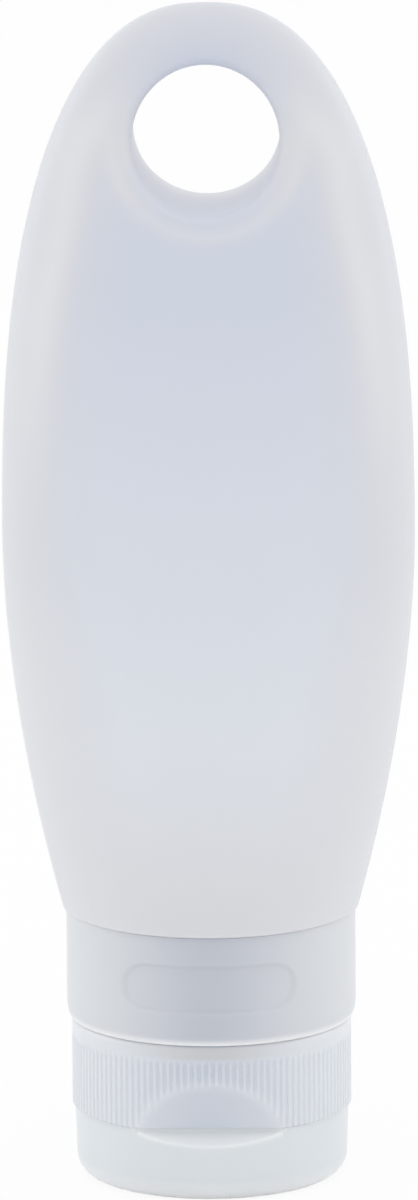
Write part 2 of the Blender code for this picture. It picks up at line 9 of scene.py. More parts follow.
import bmesh
import bpy
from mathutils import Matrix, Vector


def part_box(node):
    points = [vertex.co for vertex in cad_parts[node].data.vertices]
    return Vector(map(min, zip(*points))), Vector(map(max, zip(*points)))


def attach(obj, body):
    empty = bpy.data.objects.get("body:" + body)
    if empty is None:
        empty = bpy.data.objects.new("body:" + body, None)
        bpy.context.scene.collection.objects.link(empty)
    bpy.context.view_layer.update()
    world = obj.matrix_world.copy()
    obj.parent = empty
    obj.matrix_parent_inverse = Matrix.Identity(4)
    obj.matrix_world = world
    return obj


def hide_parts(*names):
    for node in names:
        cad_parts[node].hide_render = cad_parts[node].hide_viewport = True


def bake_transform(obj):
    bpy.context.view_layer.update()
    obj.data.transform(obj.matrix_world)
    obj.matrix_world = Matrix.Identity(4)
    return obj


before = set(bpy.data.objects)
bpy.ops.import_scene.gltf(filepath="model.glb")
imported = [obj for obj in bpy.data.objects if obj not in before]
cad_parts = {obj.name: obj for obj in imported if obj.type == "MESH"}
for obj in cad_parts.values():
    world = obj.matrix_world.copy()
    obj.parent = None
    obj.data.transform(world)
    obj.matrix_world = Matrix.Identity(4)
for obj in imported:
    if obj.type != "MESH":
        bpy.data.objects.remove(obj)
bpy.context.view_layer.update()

bl_info = {
    "name": "Squeeze Bottle",
    "version": (1, 0, 0),
    "blender": (4, 5, 0),
    "location": "3D View > Sidebar > Squeeze Bottle",
    "description": "Builds a frosted travel squeeze bottle with a ribbed flip-top cap",
    "category": "Add Mesh",
}

MM = 0.001
MERGE = 0.001 * MM  # points closer than this become one
SHARP_ANGLE = math.radians(32)  # edges that turn by more than this stay crisp
GAP = 0.3 * MM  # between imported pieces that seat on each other
PITCH = 4.2 * MM  # of the cap's thread, which the lifting joint follows

BODY_LOW, BODY_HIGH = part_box("bottle_body")
COLLAR_LOW, COLLAR_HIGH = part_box("collar")
CAP_LOW, CAP_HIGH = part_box("cap_base")
_, LID_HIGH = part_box("cap_lid")
NECK_LOW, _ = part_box("neck_ring")
GASKET_LOW, GASKET_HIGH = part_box("cap_gasket")
VALVE_LOW, VALVE_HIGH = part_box("slit_valve")
HINGE_LOW, HINGE_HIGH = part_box("living_hinge")

COLLAR_RADIUS = COLLAR_HIGH.x
CAP_RADIUS = CAP_HIGH.x
GASKET_INSET = 0.6 * MM  # how much narrower the gasket is than the neck
NECK_RADIUS = GASKET_HIGH.x + GASKET_INSET
SEAM_Z = COLLAR_HIGH.z + GAP
PARTING_Z = (HINGE_LOW.z + HINGE_HIGH.z) / 2
HINGE_Y = (HINGE_LOW.y + HINGE_HIGH.y) / 2
SHUT_GAP = 0.05 * MM  # between pieces that close on each other
CAP_LOW_Z = PARTING_Z + SHUT_GAP / 2
LID_TOP_Z = PARTING_Z - SHUT_GAP / 2
DECK_TOP_Z = GASKET_LOW.z - GAP


def length(name, description, millimetres):
    return bpy.props.FloatProperty(
        name=name, description=description, default=millimetres * MM, unit="LENGTH", precision=5
    )


def share(name, description, value):
    return bpy.props.FloatProperty(name=name, description=description, default=value, precision=3)


def count(name, description, value):
    return bpy.props.IntProperty(name=name, description=description, default=value, min=3)


def tilt(name, description, degrees):
    return bpy.props.FloatProperty(
        name=name, description=description, default=math.radians(degrees), subtype="ANGLE"
    )


def linear(code):
    """Turns an sRGB hex colour such as 8FA3B8 to linear red, green, blue and alpha."""
    channels = []
    for i in range(3):
        value = int(code[2 * i : 2 * i + 2], 16) / 255
        channels.append(value / 12.92 if value <= 0.04045 else ((value + 0.055) / 1.055) ** 2.4)
    return (*channels, 1.0)


def colour(name, description, code):
    return bpy.props.FloatVectorProperty(
        name=name, description=description, default=linear(code), size=4, subtype="COLOR", min=0, max=1
    )


class BodySettings(bpy.types.PropertyGroup):
    """Sizes of the silicone shell"""

    belly_height: length("Belly height", "Height of the widest place above the seam", 46.3)
    foot_overhang: length("Foot overhang", "How far the foot stands out past the collar", 0.45)
    foot_round: length("Foot round", "Radius of the edge above the seam", 0.35)
    hole_from_top: length("Hole from top", "From the top down to the middle of the hole", 16.0)
    hole_radius: length("Hole radius", "Radius of the hanging hole", 8.9)
    hole_edge: length("Hole edge", "Radius of the hole's rounded edges", 1.1)
    hole_length: length("Hole length", "Depth of the body at the hole", 12.6)
    top_round: length("Top round", "Height over which the top rounds off", 12.0)
    wall: length("Wall", "Thickness of the silicone wall", 1.9)
    crown_wall: length("Crown wall", "Silicone above the hollow", 5.3)
    ring_wall: length("Ring wall", "Width of the solid ring round the hole", 2.5)
    ridge: length("Ridge", "Height of the soft ridge along the sides of the crown", 0.1)
    side_fade: length("Side fade", "How far in from the sides the silicone still looks solid", 12.0)
    ring_fade: length("Ring fade", "The same outside the ring round the hole", 3.2)
    columns: count("Columns", "Columns of faces round the shell", 176)
    rows: count("Rows", "Rows of faces from the belly to the foot and round the hole", 34)


class CollarSettings(bpy.types.PropertyGroup):
    """Sizes of the collar"""

    wall: length("Wall", "Thickness of the collar", 1.3)
    foot_height: length("Foot height", "Height of the rounded foot", 2.1)
    foot_depth: length("Foot depth", "How far the foot draws in", 0.7)
    panel_width: length("Panel width", "Width of the bare panel", 21.4)
    panel_height: length("Panel height", "Height of the bare panel", 6.2)
    panel_middle: length("Panel middle", "Height of its middle above the collar's foot", 7.1)
    panel_depth: length("Panel depth", "How deep it is", 0.3)
    columns: count("Columns", "Columns of faces round the collar", 336)


class CapSettings(bpy.types.PropertyGroup):
    """Sizes of the screw cap"""

    wall: length("Wall", "Thickness of the skirt", 1.5)
    band_height: length("Band height", "Height of the plain band above the ribs", 1.5)
    rib_count: count("Rib count", "Number of grip ribs", 124)
    rib_depth: length("Rib depth", "Depth of the grooves between the ribs", 0.19)
    orifice_radius: length("Orifice radius", "Radius of the spout's bore", 3.4)
    spout_wall: length("Spout wall", "Thickness of the spout", 1.6)
    notch_height: length("Notch height", "Height of the thumb notch", 6.1)
    notch_depth: length("Notch depth", "Depth of the notch at the parting line", 2.6)
    notch_curve: length("Notch curve", "Radius of the notch's hollow", 17.4)


class LidSettings(bpy.types.PropertyGroup):
    """Sizes of the flip lid"""

    draft: length("Draft", "How much narrower the outer face is than the rim", 0.2)
    edge: length("Edge", "Round of the edge that it stands on", 2.7)
    wall: length("Wall", "Thickness of the rim", 1.4)
    floor: length("Floor", "Thickness of the outer face", 1.7)
    plug_reach: length("Plug reach", "How far the plug enters the spout", 2.1)
    ledge_setback: length("Ledge setback", "The ledge's root behind the notch's", 0.3)
    ledge_drop: length("Ledge drop", "The ledge's root below the parting line", 0.45)
    ledge_fall: length("Ledge fall", "How much lower its outer edge lies", 1.25)
    columns: count("Columns", "Columns of faces round the lid", 200)


class NeckSettings(bpy.types.PropertyGroup):
    """Sizes of the neck, its thread, the valve and the hinge's web"""

    thread_height: length("Thread height", "How far the thread stands out", 0.9)
    slit_length: length("Slit length", "Length of each slit in the valve", 4.0)
    web_thickness: length("Web thickness", "Thickness of the hinge's web", 0.36)


class FinishSettings(bpy.types.PropertyGroup):
    """Colours of the materials"""

    crown_silicone: colour("Crown silicone", "Thin silicone below the hole", "D4D9E6")
    belly_silicone: colour("Belly silicone", "Thin silicone at the widest place", "DBE0E9")
    middle_silicone: colour("Middle silicone", "Thin silicone below the widest place", "E1E5EB")
    foot_silicone: colour("Foot silicone", "Thin silicone above the collar", "DCDDE1")
    top_silicone: colour("Top silicone", "Solid silicone round the hole", "D5D9E4")
    # Paler sides, partly for the solid silicone there and partly painted light
    side_silicone: colour("Side silicone", "Solid silicone along the sides", "D9DBE0")
    # Painted highlights on the ridges, the low sides, the ring's edge and the hole's far lip
    painted_highlight_silicone: colour("Ridge silicone", "Silicone along the soft ridges", "E2E3E7")
    # Painted shade on the brow above the hole, and faintly in the hole's lower wall
    painted_shade_silicone: colour("Brow silicone", "Silicone that rolls into the hole above it", "CCD1E0")
    lid_polypropylene: colour("Lid", "Natural polypropylene of the lid", "E1E6EA")
    cap_polypropylene: colour("Cap", "The sides of the cap", "E3E7EC")
    collar_polypropylene: colour("Collar", "The sides of the collar", "DADDE1")
    # Painted shade: the front and back of cap, band and collar are darker than their sides
    shaded_cap: colour("Deep cap", "Front and back of the cap, over its thread", "D3D8E2")
    shaded_band: colour("Deep band", "Front and back of the cap's plain band", "CDCFD2")
    shaded_collar: colour("Deep collar", "Front and back of the collar, over the neck", "C5C9D3")
    # Painted highlight on thin edges and on the lid's lower edge
    edge_highlight_polypropylene: colour("Edges", "Thin edges, which let light through", "F8F9FA")
    neck_polypropylene: colour("Neck polypropylene", "Polypropylene of the neck", "E6E8EA")
    seal_silicone: colour("Seal silicone", "Clear silicone of valve and gasket", "DDE1E4")


class StageSettings(bpy.types.PropertyGroup):
    """The camera, the floor and the lamps"""

    elevation: tilt("Elevation", "Camera above the horizon", 12.9)
    azimuth: tilt("Azimuth", "Camera round the object", 1)
    roll: tilt("Roll", "Tilt of the picture", -0.35)
    lens: bpy.props.FloatProperty(name="Lens", description="Focal length", default=580.0, unit="CAMERA")
    target_height: length("Target height", "Height that the camera looks at", 71.35)
    frame_height: length("Frame height", "Height that the picture covers at the object", 145.5)
    dome: share("Dome", "Brightness of the room", 0.92)
    side_lamps: share("Side lamps", "Brightness of the lamps at both sides", 1.1)
    top_lamp: share("Top lamp", "Brightness of the lamp above", 0.4)
    shadow: share("Shadow", "How much of the shadow shows on the floor", 0.1)


GROUPS = {
    "body": BodySettings,
    "collar": CollarSettings,
    "cap": CapSettings,
    "lid": LidSettings,
    "neck": NeckSettings,
    "finish": FinishSettings,
    "stage": StageSettings,
}


class BottleSettings(bpy.types.PropertyGroup):
    """All sizes and colours of the bottle"""

    # One pointer for each group, under the group's name
    __annotations__ = {name: bpy.props.PointerProperty(type=group) for name, group in GROUPS.items()}


def add_node(tree, kind, settings=None, values=None, links=None):
    """Adds a node with its own settings, input values and links from other sockets."""
    node = tree.nodes.new(kind)
    for name, value in (settings or {}).items():
        setattr(node, name, value)
    for name, value in (values or {}).items():
        node.inputs[name].default_value = value
    for name, socket in (links or {}).items():
        tree.links.new(socket, node.inputs[name])
    return node


def start_nodes(owner):
    """The emptied node tree of a material or a world."""
    owner.use_nodes = True
    owner.node_tree.nodes.clear()
    return owner.node_tree


def tint_by_height(tree, place, low, high, stops):
    """A colour that changes with height. Each stop is a height and its colour."""
    height = add_node(tree, "ShaderNodeSeparateXYZ", links={"Vector": place}).outputs["Z"]
    span = {"From Min": low, "From Max": high}
    rise = add_node(tree, "ShaderNodeMapRange", values=span, links={"Value": height})
    ramp = add_node(tree, "ShaderNodeValToRGB", links={"Fac": rise.outputs["Result"]})
    while len(ramp.color_ramp.elements) < len(stops):
        ramp.color_ramp.elements.new(0.5)
    for element, (z, tint) in zip(ramp.color_ramp.elements, stops):
        element.position = (z - low) / (high - low)
        element.color = tint
    return ramp.outputs["Color"]


def lay_over(tree, below, layers):
    """Lays colours or colour sockets over a first one, each where the piece's share of that name says."""
    for name, above in layers:
        shown = add_node(tree, "ShaderNodeAttribute", {"attribute_name": name}).outputs["Fac"]
        mix = add_node(tree, "ShaderNodeMix", {"data_type": "RGBA"}, links={0: shown, 6: below})
        if isinstance(above, bpy.types.NodeSocket):
            tree.links.new(above, mix.inputs[7])
        else:
            mix.inputs[7].default_value = above
        below = mix.outputs[2]
    return below


def finish_material(tree, place, grain, values, colour=None):
    """Adds the surface shader and the output. A colour that changes along the surface is a socket.

    grain is the fine bump of the mould: size and depth of its grains in millimetres, and its strength.
    """
    size, depth, strength = grain
    detail = {"Scale": 1 / (size * MM), "Detail": 3.0, "Roughness": 0.6}
    noise = add_node(tree, "ShaderNodeTexNoise", values=detail, links={"Vector": place})
    relief = {"Strength": strength, "Distance": depth * MM}
    bump = add_node(tree, "ShaderNodeBump", values=relief, links={"Height": noise.outputs["Fac"]})
    links = {"Normal": bump.outputs["Normal"]}
    if colour is not None:
        links["Base Color"] = colour
    shader = add_node(tree, "ShaderNodeBsdfPrincipled", values=values, links=links)
    add_node(tree, "ShaderNodeOutputMaterial", links={"Surface": shader.outputs["BSDF"]})


def frosted_silicone(tree, place, finish):
    """Liquid silicone rubber from a blasted mould: milky, with a soft satin sheen and a fine grain."""
    span = BODY_HIGH.z - SEAM_Z
    stops = (  # shares of the body's height, and the colour of its thin wall there
        (0.02, finish.foot_silicone),
        (0.2, finish.middle_silicone),
        (0.42, finish.belly_silicone),
        (0.7, finish.crown_silicone),
    )
    heights = [(SEAM_Z + part * span, tint) for part, tint in stops]
    thin = tint_by_height(tree, place, SEAM_Z, BODY_HIGH.z, heights)
    solid = (
        # partly solid silicone, partly painted light
        ("ring_share", finish.top_silicone),
        ("side_share", finish.side_silicone),
        # painted highlights
        ("ridge_share", finish.painted_highlight_silicone),
        # painted shade
        ("brow_share", finish.painted_shade_silicone),
    )
    values = {
        "Roughness": 0.45,
        "IOR": 1.41,
        "Subsurface Weight": 0.3,
        "Subsurface Radius": (1.0, 1.0, 1.0),
        "Subsurface Scale": 0.9 * MM,
    }
    finish_material(tree, place, (0.35, 0.02, 0.25), values, lay_over(tree, thin, solid))


def natural_polypropylene(tree, place, finish):
    """Natural polypropylene, injection moulded: waxy, a little clearer and glossier than the silicone.

    Its front and back carry painted shade, darker than its sides, and its thin edges and the lid's lower
    edge carry painted highlights.
    """
    soft = 0.1 * MM  # height of the passage from one piece's colour to the next one's
    # Up to this height the lid's lower edge carries a painted highlight
    lid_highlight_z = 2.8 * MM
    band_z = CAP_HIGH.z - 1.2 * MM
    shown = (
        (0, finish.edge_highlight_polypropylene),
        (lid_highlight_z, finish.lid_polypropylene),
        (PARTING_Z - soft, finish.lid_polypropylene),
        (PARTING_Z + soft, finish.cap_polypropylene),
        (CAP_HIGH.z, finish.cap_polypropylene),
        (CAP_HIGH.z + soft, finish.collar_polypropylene),
    )
    # Painted shade on the front and back, darker than the sides
    behind = (
        (PARTING_Z, finish.shaded_cap),
        (band_z - 4 * soft, finish.shaded_cap),
        (band_z, finish.shaded_band),
        (CAP_HIGH.z, finish.shaded_band),
        (CAP_HIGH.z + soft, finish.shaded_collar),
    )
    shallow = tint_by_height(tree, place, 0, COLLAR_HIGH.z, shown)
    deep = tint_by_height(tree, place, 0, COLLAR_HIGH.z, behind)
    # Painted shade on the front and back, then painted highlights along the edges
    layers = (("painted_front_back_shade", deep), ("edge_highlight_share", finish.edge_highlight_polypropylene))
    clear = lay_over(tree, shallow, layers)
    flow_size = 9 * MM  # of the faint clouds that the melt leaves
    spread = {"Scale": 1 / flow_size, "Detail": 2.0}
    flow = add_node(tree, "ShaderNodeTexNoise", values=spread, links={"Vector": place})
    faint = {"To Min": 0.985, "To Max": 1.0}
    cloud = add_node(tree, "ShaderNodeMapRange", values=faint, links={"Value": flow.outputs["Fac"]})
    body = add_node(
        tree,
        "ShaderNodeMix",
        {"data_type": "RGBA", "blend_type": "MULTIPLY"},
        values={0: 1.0},
        links={6: clear, 7: cloud.outputs["Result"]},
    )
    values = {
        "Roughness": 0.33,
        "IOR": 1.49,
        "Subsurface Weight": 0.3,
        "Subsurface Radius": (1.0, 1.0, 1.0),
        "Subsurface Scale": 0.8 * MM,
    }
    finish_material(tree, place, (0.25, 0.01, 0.2), values, body.outputs[2])


def neck_polypropylene(tree, place, finish):
    """Stiff natural polypropylene of the hidden neck parts, smooth from a polished mould."""
    values = {
        "Base Color": finish.neck_polypropylene,
        "Roughness": 0.3,
        "IOR": 1.49,
        "Subsurface Weight": 0.3,
        "Subsurface Scale": 1.0 * MM,
    }
    finish_material(tree, place, (0.4, 0.01, 0.15), values)


def seal_silicone(tree, place, finish):
    """Clear liquid silicone rubber of valve and gasket: soft, wet-looking and a little hazy."""
    values = {
        "Base Color": finish.seal_silicone,
        "Roughness": 0.28,
        "IOR": 1.41,
        "Subsurface Weight": 0.6,
        "Subsurface Scale": 1.5 * MM,
    }
    finish_material(tree, place, (0.3, 0.01, 0.1), values)


MATERIALS = {
    "frosted_silicone": ("moulded_frosted_silicone_rubber", frosted_silicone),
    "translucent_polypropylene": ("moulded_natural_polypropylene", natural_polypropylene),
    "neck_polypropylene": ("moulded_neck_polypropylene", neck_polypropylene),
    "seal_silicone": ("moulded_clear_silicone_rubber", seal_silicone),
}


def material_for(slot):
    """The material of a slot of the record, made at its first use."""
    name, fill = MATERIALS[slot]
    material = bpy.data.materials.get(name)
    if material is None:
        material = bpy.data.materials.new(name)
        tree = start_nodes(material)
        place = add_node(tree, "ShaderNodeTexCoord").outputs["Object"]
        fill(tree, place, bpy.context.scene.squeeze_bottle.finish)
    return material


def smooth_step(low, high, value):
    t = min(1, max(0, (value - low) / (high - low)))
    return t * t * (3 - 2 * t)


def soft_max(a, b, softness):
    """The greater of two lengths, with a rounded passage from one to the other."""
    return (a + b + math.sqrt((a - b) ** 2 + softness**2)) / 2


def even_steps(low, high, steps):
    return [low + (high - low) * i / steps for i in range(steps + 1)]


def arc_points(centre, across, up, start_degrees, end_degrees, steps):
    """Points along an arc of an ellipse with these half sizes, both ends included."""
    points = []
    for degrees in even_steps(start_degrees, end_degrees, steps):
        angle = math.radians(degrees)
        points.append((centre[0] + across * math.cos(angle), centre[1] + up * math.sin(angle)))
    return points


def turns(columns):
    """Equal angles round the axis."""
    return [2 * math.pi * i / columns for i in range(columns)]


def no_change(x, y, z):
    return x, y, z


def rings(profile, angles, shape=no_change):
    """One ring of points for each (radius, height) of a profile, each point moved by a shape."""
    return [[shape(r * math.cos(a), r * math.sin(a), z) for a in angles] for r, z in profile]


def skin(mesh_data, rows, closed=True, looped=False, ends=False):
    """Joins rows of points with faces, and gives back their vertices.

    closed joins each row's ends, looped the last row and the first. ends fills the first and last row.
    """
    made = [[mesh_data.verts.new(point) for point in row] for row in rows]
    pairs = list(zip(made, made[1:]))
    if looped:
        pairs.append((made[-1], made[0]))
    for first, second in pairs:
        steps = len(first) if closed else len(first) - 1
        for i in range(steps):
            j = (i + 1) % len(first)
            mesh_data.faces.new((first[i], first[j], second[j], second[i]))
    if ends:
        mesh_data.faces.new(made[0])
        mesh_data.faces.new(made[-1])
    return made


def narrow(mesh_data, fine, coarse):
    """Joins a ring of many vertices to one of fewer, whose number goes into it."""
    step = len(fine) // len(coarse)
    for i, vertex in enumerate(coarse):
        following = coarse[(i + 1) % len(coarse)]
        edge = [fine[(i * step + k) % len(fine)] for k in range(step + 1)]
        mesh_data.faces.new([*edge, following, vertex])


def add_object(name, data):
    """Puts an object with this data into the scene."""
    made = bpy.data.objects.new(name, data)
    bpy.context.scene.collection.objects.link(made)
    return made


def add_mesh(name, mesh_data):
    """Turns a bmesh into an object whose faces all look outwards."""
    bmesh.ops.recalc_face_normals(mesh_data, faces=mesh_data.faces)
    mesh = bpy.data.meshes.new(name)
    mesh_data.to_mesh(mesh)
    mesh_data.free()
    return add_object(name, mesh)


def make_piece(name, mesh_data, slot, body=None, replaces=()):
    """Turns a bmesh into a shown piece with its material, its body and the nodes that it stands for."""
    bmesh.ops.remove_doubles(mesh_data, verts=mesh_data.verts, dist=MERGE)
    piece = add_mesh(name, mesh_data)
    piece.data.shade_smooth()
    piece.data.set_sharp_from_angle(angle=SHARP_ANGLE)
    piece.data.materials.append(material_for(slot))
    if body:
        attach(piece, body)
    if replaces:
        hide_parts(*replaces)
    return piece


FOOT_POWER = 1.81  # how the sides swell from foot to belly
CROWN_RISE, CROWN_SPREAD = 2.43, 2.38  # the two powers of the crown's outline
TAPER_POWER = 1.27  # how the depth falls towards the hole
ROUND_POWER, FLAT_POWER = 2.0, 2.5  # of the cross section at the foot and at the hole
TOP_POWER = 1.6  # how late the top rounds off
FINE_STEPS = 40  # places tried for each point of an outline
TOP_CROWDING = 2.3  # power by which those places crowd towards the top
CORNER_POWER = 8  # how soon the crowding at the outline ends along a level
HALVINGS = 40  # steps of the search for the height at which two outlines meet


class Lens:
    """The lens of the body, or of its hollow when walls are taken off it."""

    def __init__(self, sizes, wall=0, top_wall=0):
        self.sizes = sizes
        self.wall = wall
        self.top = BODY_HIGH.z - top_wall
        self.belly = SEAM_Z + sizes.belly_height
        self.foot_radius = COLLAR_RADIUS + sizes.foot_overhang
        self.hole_z = BODY_HIGH.z - sizes.hole_from_top

    def half_width(self, z):
        half_belly = BODY_HIGH.x
        if z < self.belly:
            down = (self.belly - z) / self.sizes.belly_height
            swell = (half_belly - self.foot_radius) * down**FOOT_POWER
            return half_belly - self.wall - swell
        up = min(1, (z - self.belly) / (self.top - self.belly))
        return (half_belly - self.wall) * (1 - up**CROWN_RISE) ** (1 / CROWN_SPREAD)

    def rise(self, z):
        """How far a height lies on the way from the seam to the middle of the hole."""
        return max(0, (z - SEAM_Z) / (self.hole_z - SEAM_Z))

    def half_depth(self, z):
        sizes = self.sizes
        at_hole = sizes.hole_length / 2
        taper = (self.foot_radius - at_hole) * (1 - self.rise(z) ** TAPER_POWER)
        over = max(0, z - (self.top - sizes.top_round)) / sizes.top_round
        return (at_hole + taper - self.wall) * math.sqrt(max(0, 1 - over**TOP_POWER))

    def power(self, z):
        """The power of the cross section, which goes from round to flattened."""
        step = FLAT_POWER - ROUND_POWER
        return ROUND_POWER + step * min(1, self.rise(z))

    def depth(self, x, z):
        """Half the depth at a point of the front view."""
        width = self.half_width(z)
        if width <= abs(x):
            return 0.0
        power = self.power(z)
        return self.half_depth(z) * (1 - (abs(x) / width) ** power) ** (1 / power)

    def section(self, z, columns):
        """The cross section at a height, as points that start at the right and go round by the back."""
        width, depth, power = self.half_width(z), self.half_depth(z), self.power(z)
        points = []
        for angle in turns(columns):
            across, along = math.cos(angle), math.sin(angle)
            x = width * math.copysign(abs(across) ** (2 / power), across)
            y = depth * math.copysign(abs(along) ** (2 / power), along)
            points.append((x, y, z))
        return points

    def side(self, low, high, steps):
        """Points of the outline on the right, evenly along it from one height to another."""
        fine = even_steps(0, 1, FINE_STEPS * steps)
        fine = [low + (high - low) * (1 - (1 - t) ** TOP_CROWDING) for t in fine]
        points = [(self.half_width(z), z) for z in fine]
        walked = [0.0]
        for before, after in zip(points, points[1:]):
            walked.append(walked[-1] + math.dist(before, after))
        chosen = [points[0]]
        for i in range(1, steps):
            goal = walked[-1] * i / steps
            chosen.append(next(point for point, way in zip(points, walked) if way >= goal))
        return [*chosen, points[-1]]


def fan(lens, inner_radius, corner, side, bottom, rows, move=no_change):
    """The face above a level, as rows of points from a circle round the hole to the outline.

    side holds the outline's points from the level up to the top or to where the circle meets it.
    bottom holds the points along the level from right to left. Both faces come in one list each.
    """
    hole_z = lens.hole_z
    edge = [(x, z, 1.0) for x, z in reversed(side)]
    edge += [(x, corner, (abs(x) / lens.half_width(corner)) ** CORNER_POWER) for x in bottom[1:-1]]
    edge += [(-x, z, 1.0) for x, z in side]
    faces = []
    for facing in (-1, 1):
        grid = []
        for t in even_steps(0, 1, rows):
            row = []
            for x_end, z_end, crowding in edge:
                reach = math.hypot(x_end, z_end - hole_z)
                start = min(1, inner_radius / reach)
                spread = t + (math.sin(t * math.pi / 2) - t) * crowding
                way = start + (1 - start) * spread
                x = x_end * way
                z = hole_z + (z_end - hole_z) * way
                depth = 0.0 if t == 1 and crowding == 1 else lens.depth(x, z)
                row.append(move(x, facing * depth, z))
            grid.append(row)
        faces.append(grid)
    return faces


def meeting_height(lens, radius, low):
    """The height at which a circle round the hole meets the outline."""
    high = lens.top
    for _ in range(HALVINGS):
        middle = (low + high) / 2
        if math.hypot(lens.half_width(middle), middle - lens.hole_z) > radius:
            low = middle
        else:
            high = middle
    return low


def from_side(lens, x, z):
    """How far a point of the front view lies inside the outline of a lens. Outside it is negative."""
    if z >= lens.top:
        return lens.top - z
    drop = 0.2 * MM
    width = lens.half_width(z)
    slope = (lens.half_width(z - drop) - width) / drop
    return (width - abs(x)) / math.sqrt(1 + slope**2)


def write_share(piece, name, value_at):
    """Stores a value for each vertex, which the materials read by its name."""
    shares = piece.data.attributes.new(name, "FLOAT", "POINT")
    for share_of, vertex in zip(shares.data, piece.data.vertices):
        share_of.value = value_at(*vertex.co)


def front_back_shade_mask(radius):
    """Painted shade: one at the front and back of a round piece and next to nothing at its sides."""
    return lambda x, y, z: math.exp(-((2 * x / radius) ** 2))


HINGE_INSET = 1.1 * MM  # of the flat that cap and lid have behind the hinge's web
HALF_FLAT = HINGE_HIGH.x + 1.0 * MM  # half its width
POCKET_HEIGHT = 3.4 * MM  # how far it reaches from the parting line


def cut_flat(x, y):
    """The y of a point, cut off flat where it lies behind the hinge's web."""
    return min(y, CAP_RADIUS - HINGE_INSET) if abs(x) < HALF_FLAT else y


SEAM_GAP = 0.06 * MM  # between shell and collar
NECK_SKIN = 1.8 * MM  # silicone over the neck's sleeve
SHOULDER = 2.6 * MM  # height over which the hollow opens out
LIP_STEPS = 9  # rows of faces round each edge of the hanging hole
RELIEF_DEPTH = 1.5 * MM  # the relief is full where the body is twice this deep
RIDGE_PLACE = 2.1 * MM  # how far the ridge lies inside the hollow's outline
RIDGE_SHIFT = 1.5 * MM  # how much further out it lies beside the hole
RIDGE_WIDTH = 2.0 * MM  # half its width
RIDGE_LOW, RIDGE_HIGH = 1.6, 0.8  # ring radii below and above the hole between which it shows
BROW_DEPTH = 0.15 * MM  # how far the face rolls back above the hole
BROW_WIDTH = 8.0 * MM  # how far above the hole it does so
BROW_POWER, BROW_FOCUS = 1.3, 1.5  # how quickly that fades upwards and sideways
ARC_WIDTH = 0.9 * MM  # half the width of the painted highlight along the ring's edge
BESIDE_PAINTED_LIGHT, BESIDE_FOCUS = 0.3, 4  # how much painted light the silicone beside the hole gets, and how narrowly
LOW_SIDE_PAINTED_LIGHT = 0.45  # how much painted light the sides get below the belly
LOW_FADE = 18.0 * MM  # height over which that painted light comes in
BORE_SHADE = 0.12  # how much of the brow's painted shade the hole's lower wall gets


def hole_wall(front, back, mouth, edge, hole_z):
    """Rows of points from the front face round the hole's two rounded edges to the back face."""
    wall = []
    for grid, order in ((front, 1), (back, -1)):
        lips = [grid[0]]
        for degrees in even_steps(0, 90, LIP_STEPS)[1:]:
            radius = mouth - edge * math.sin(math.radians(degrees))
            sink = edge * (1 - math.cos(math.radians(degrees)))
            lip = []
            for x, y, z in grid[0]:
                way = radius / math.hypot(x, z - hole_z)
                lip.append((x * way, y - math.copysign(sink, y), hole_z + (z - hole_z) * way))
            lips.append(lip)
        wall += lips[::order]
    return wall


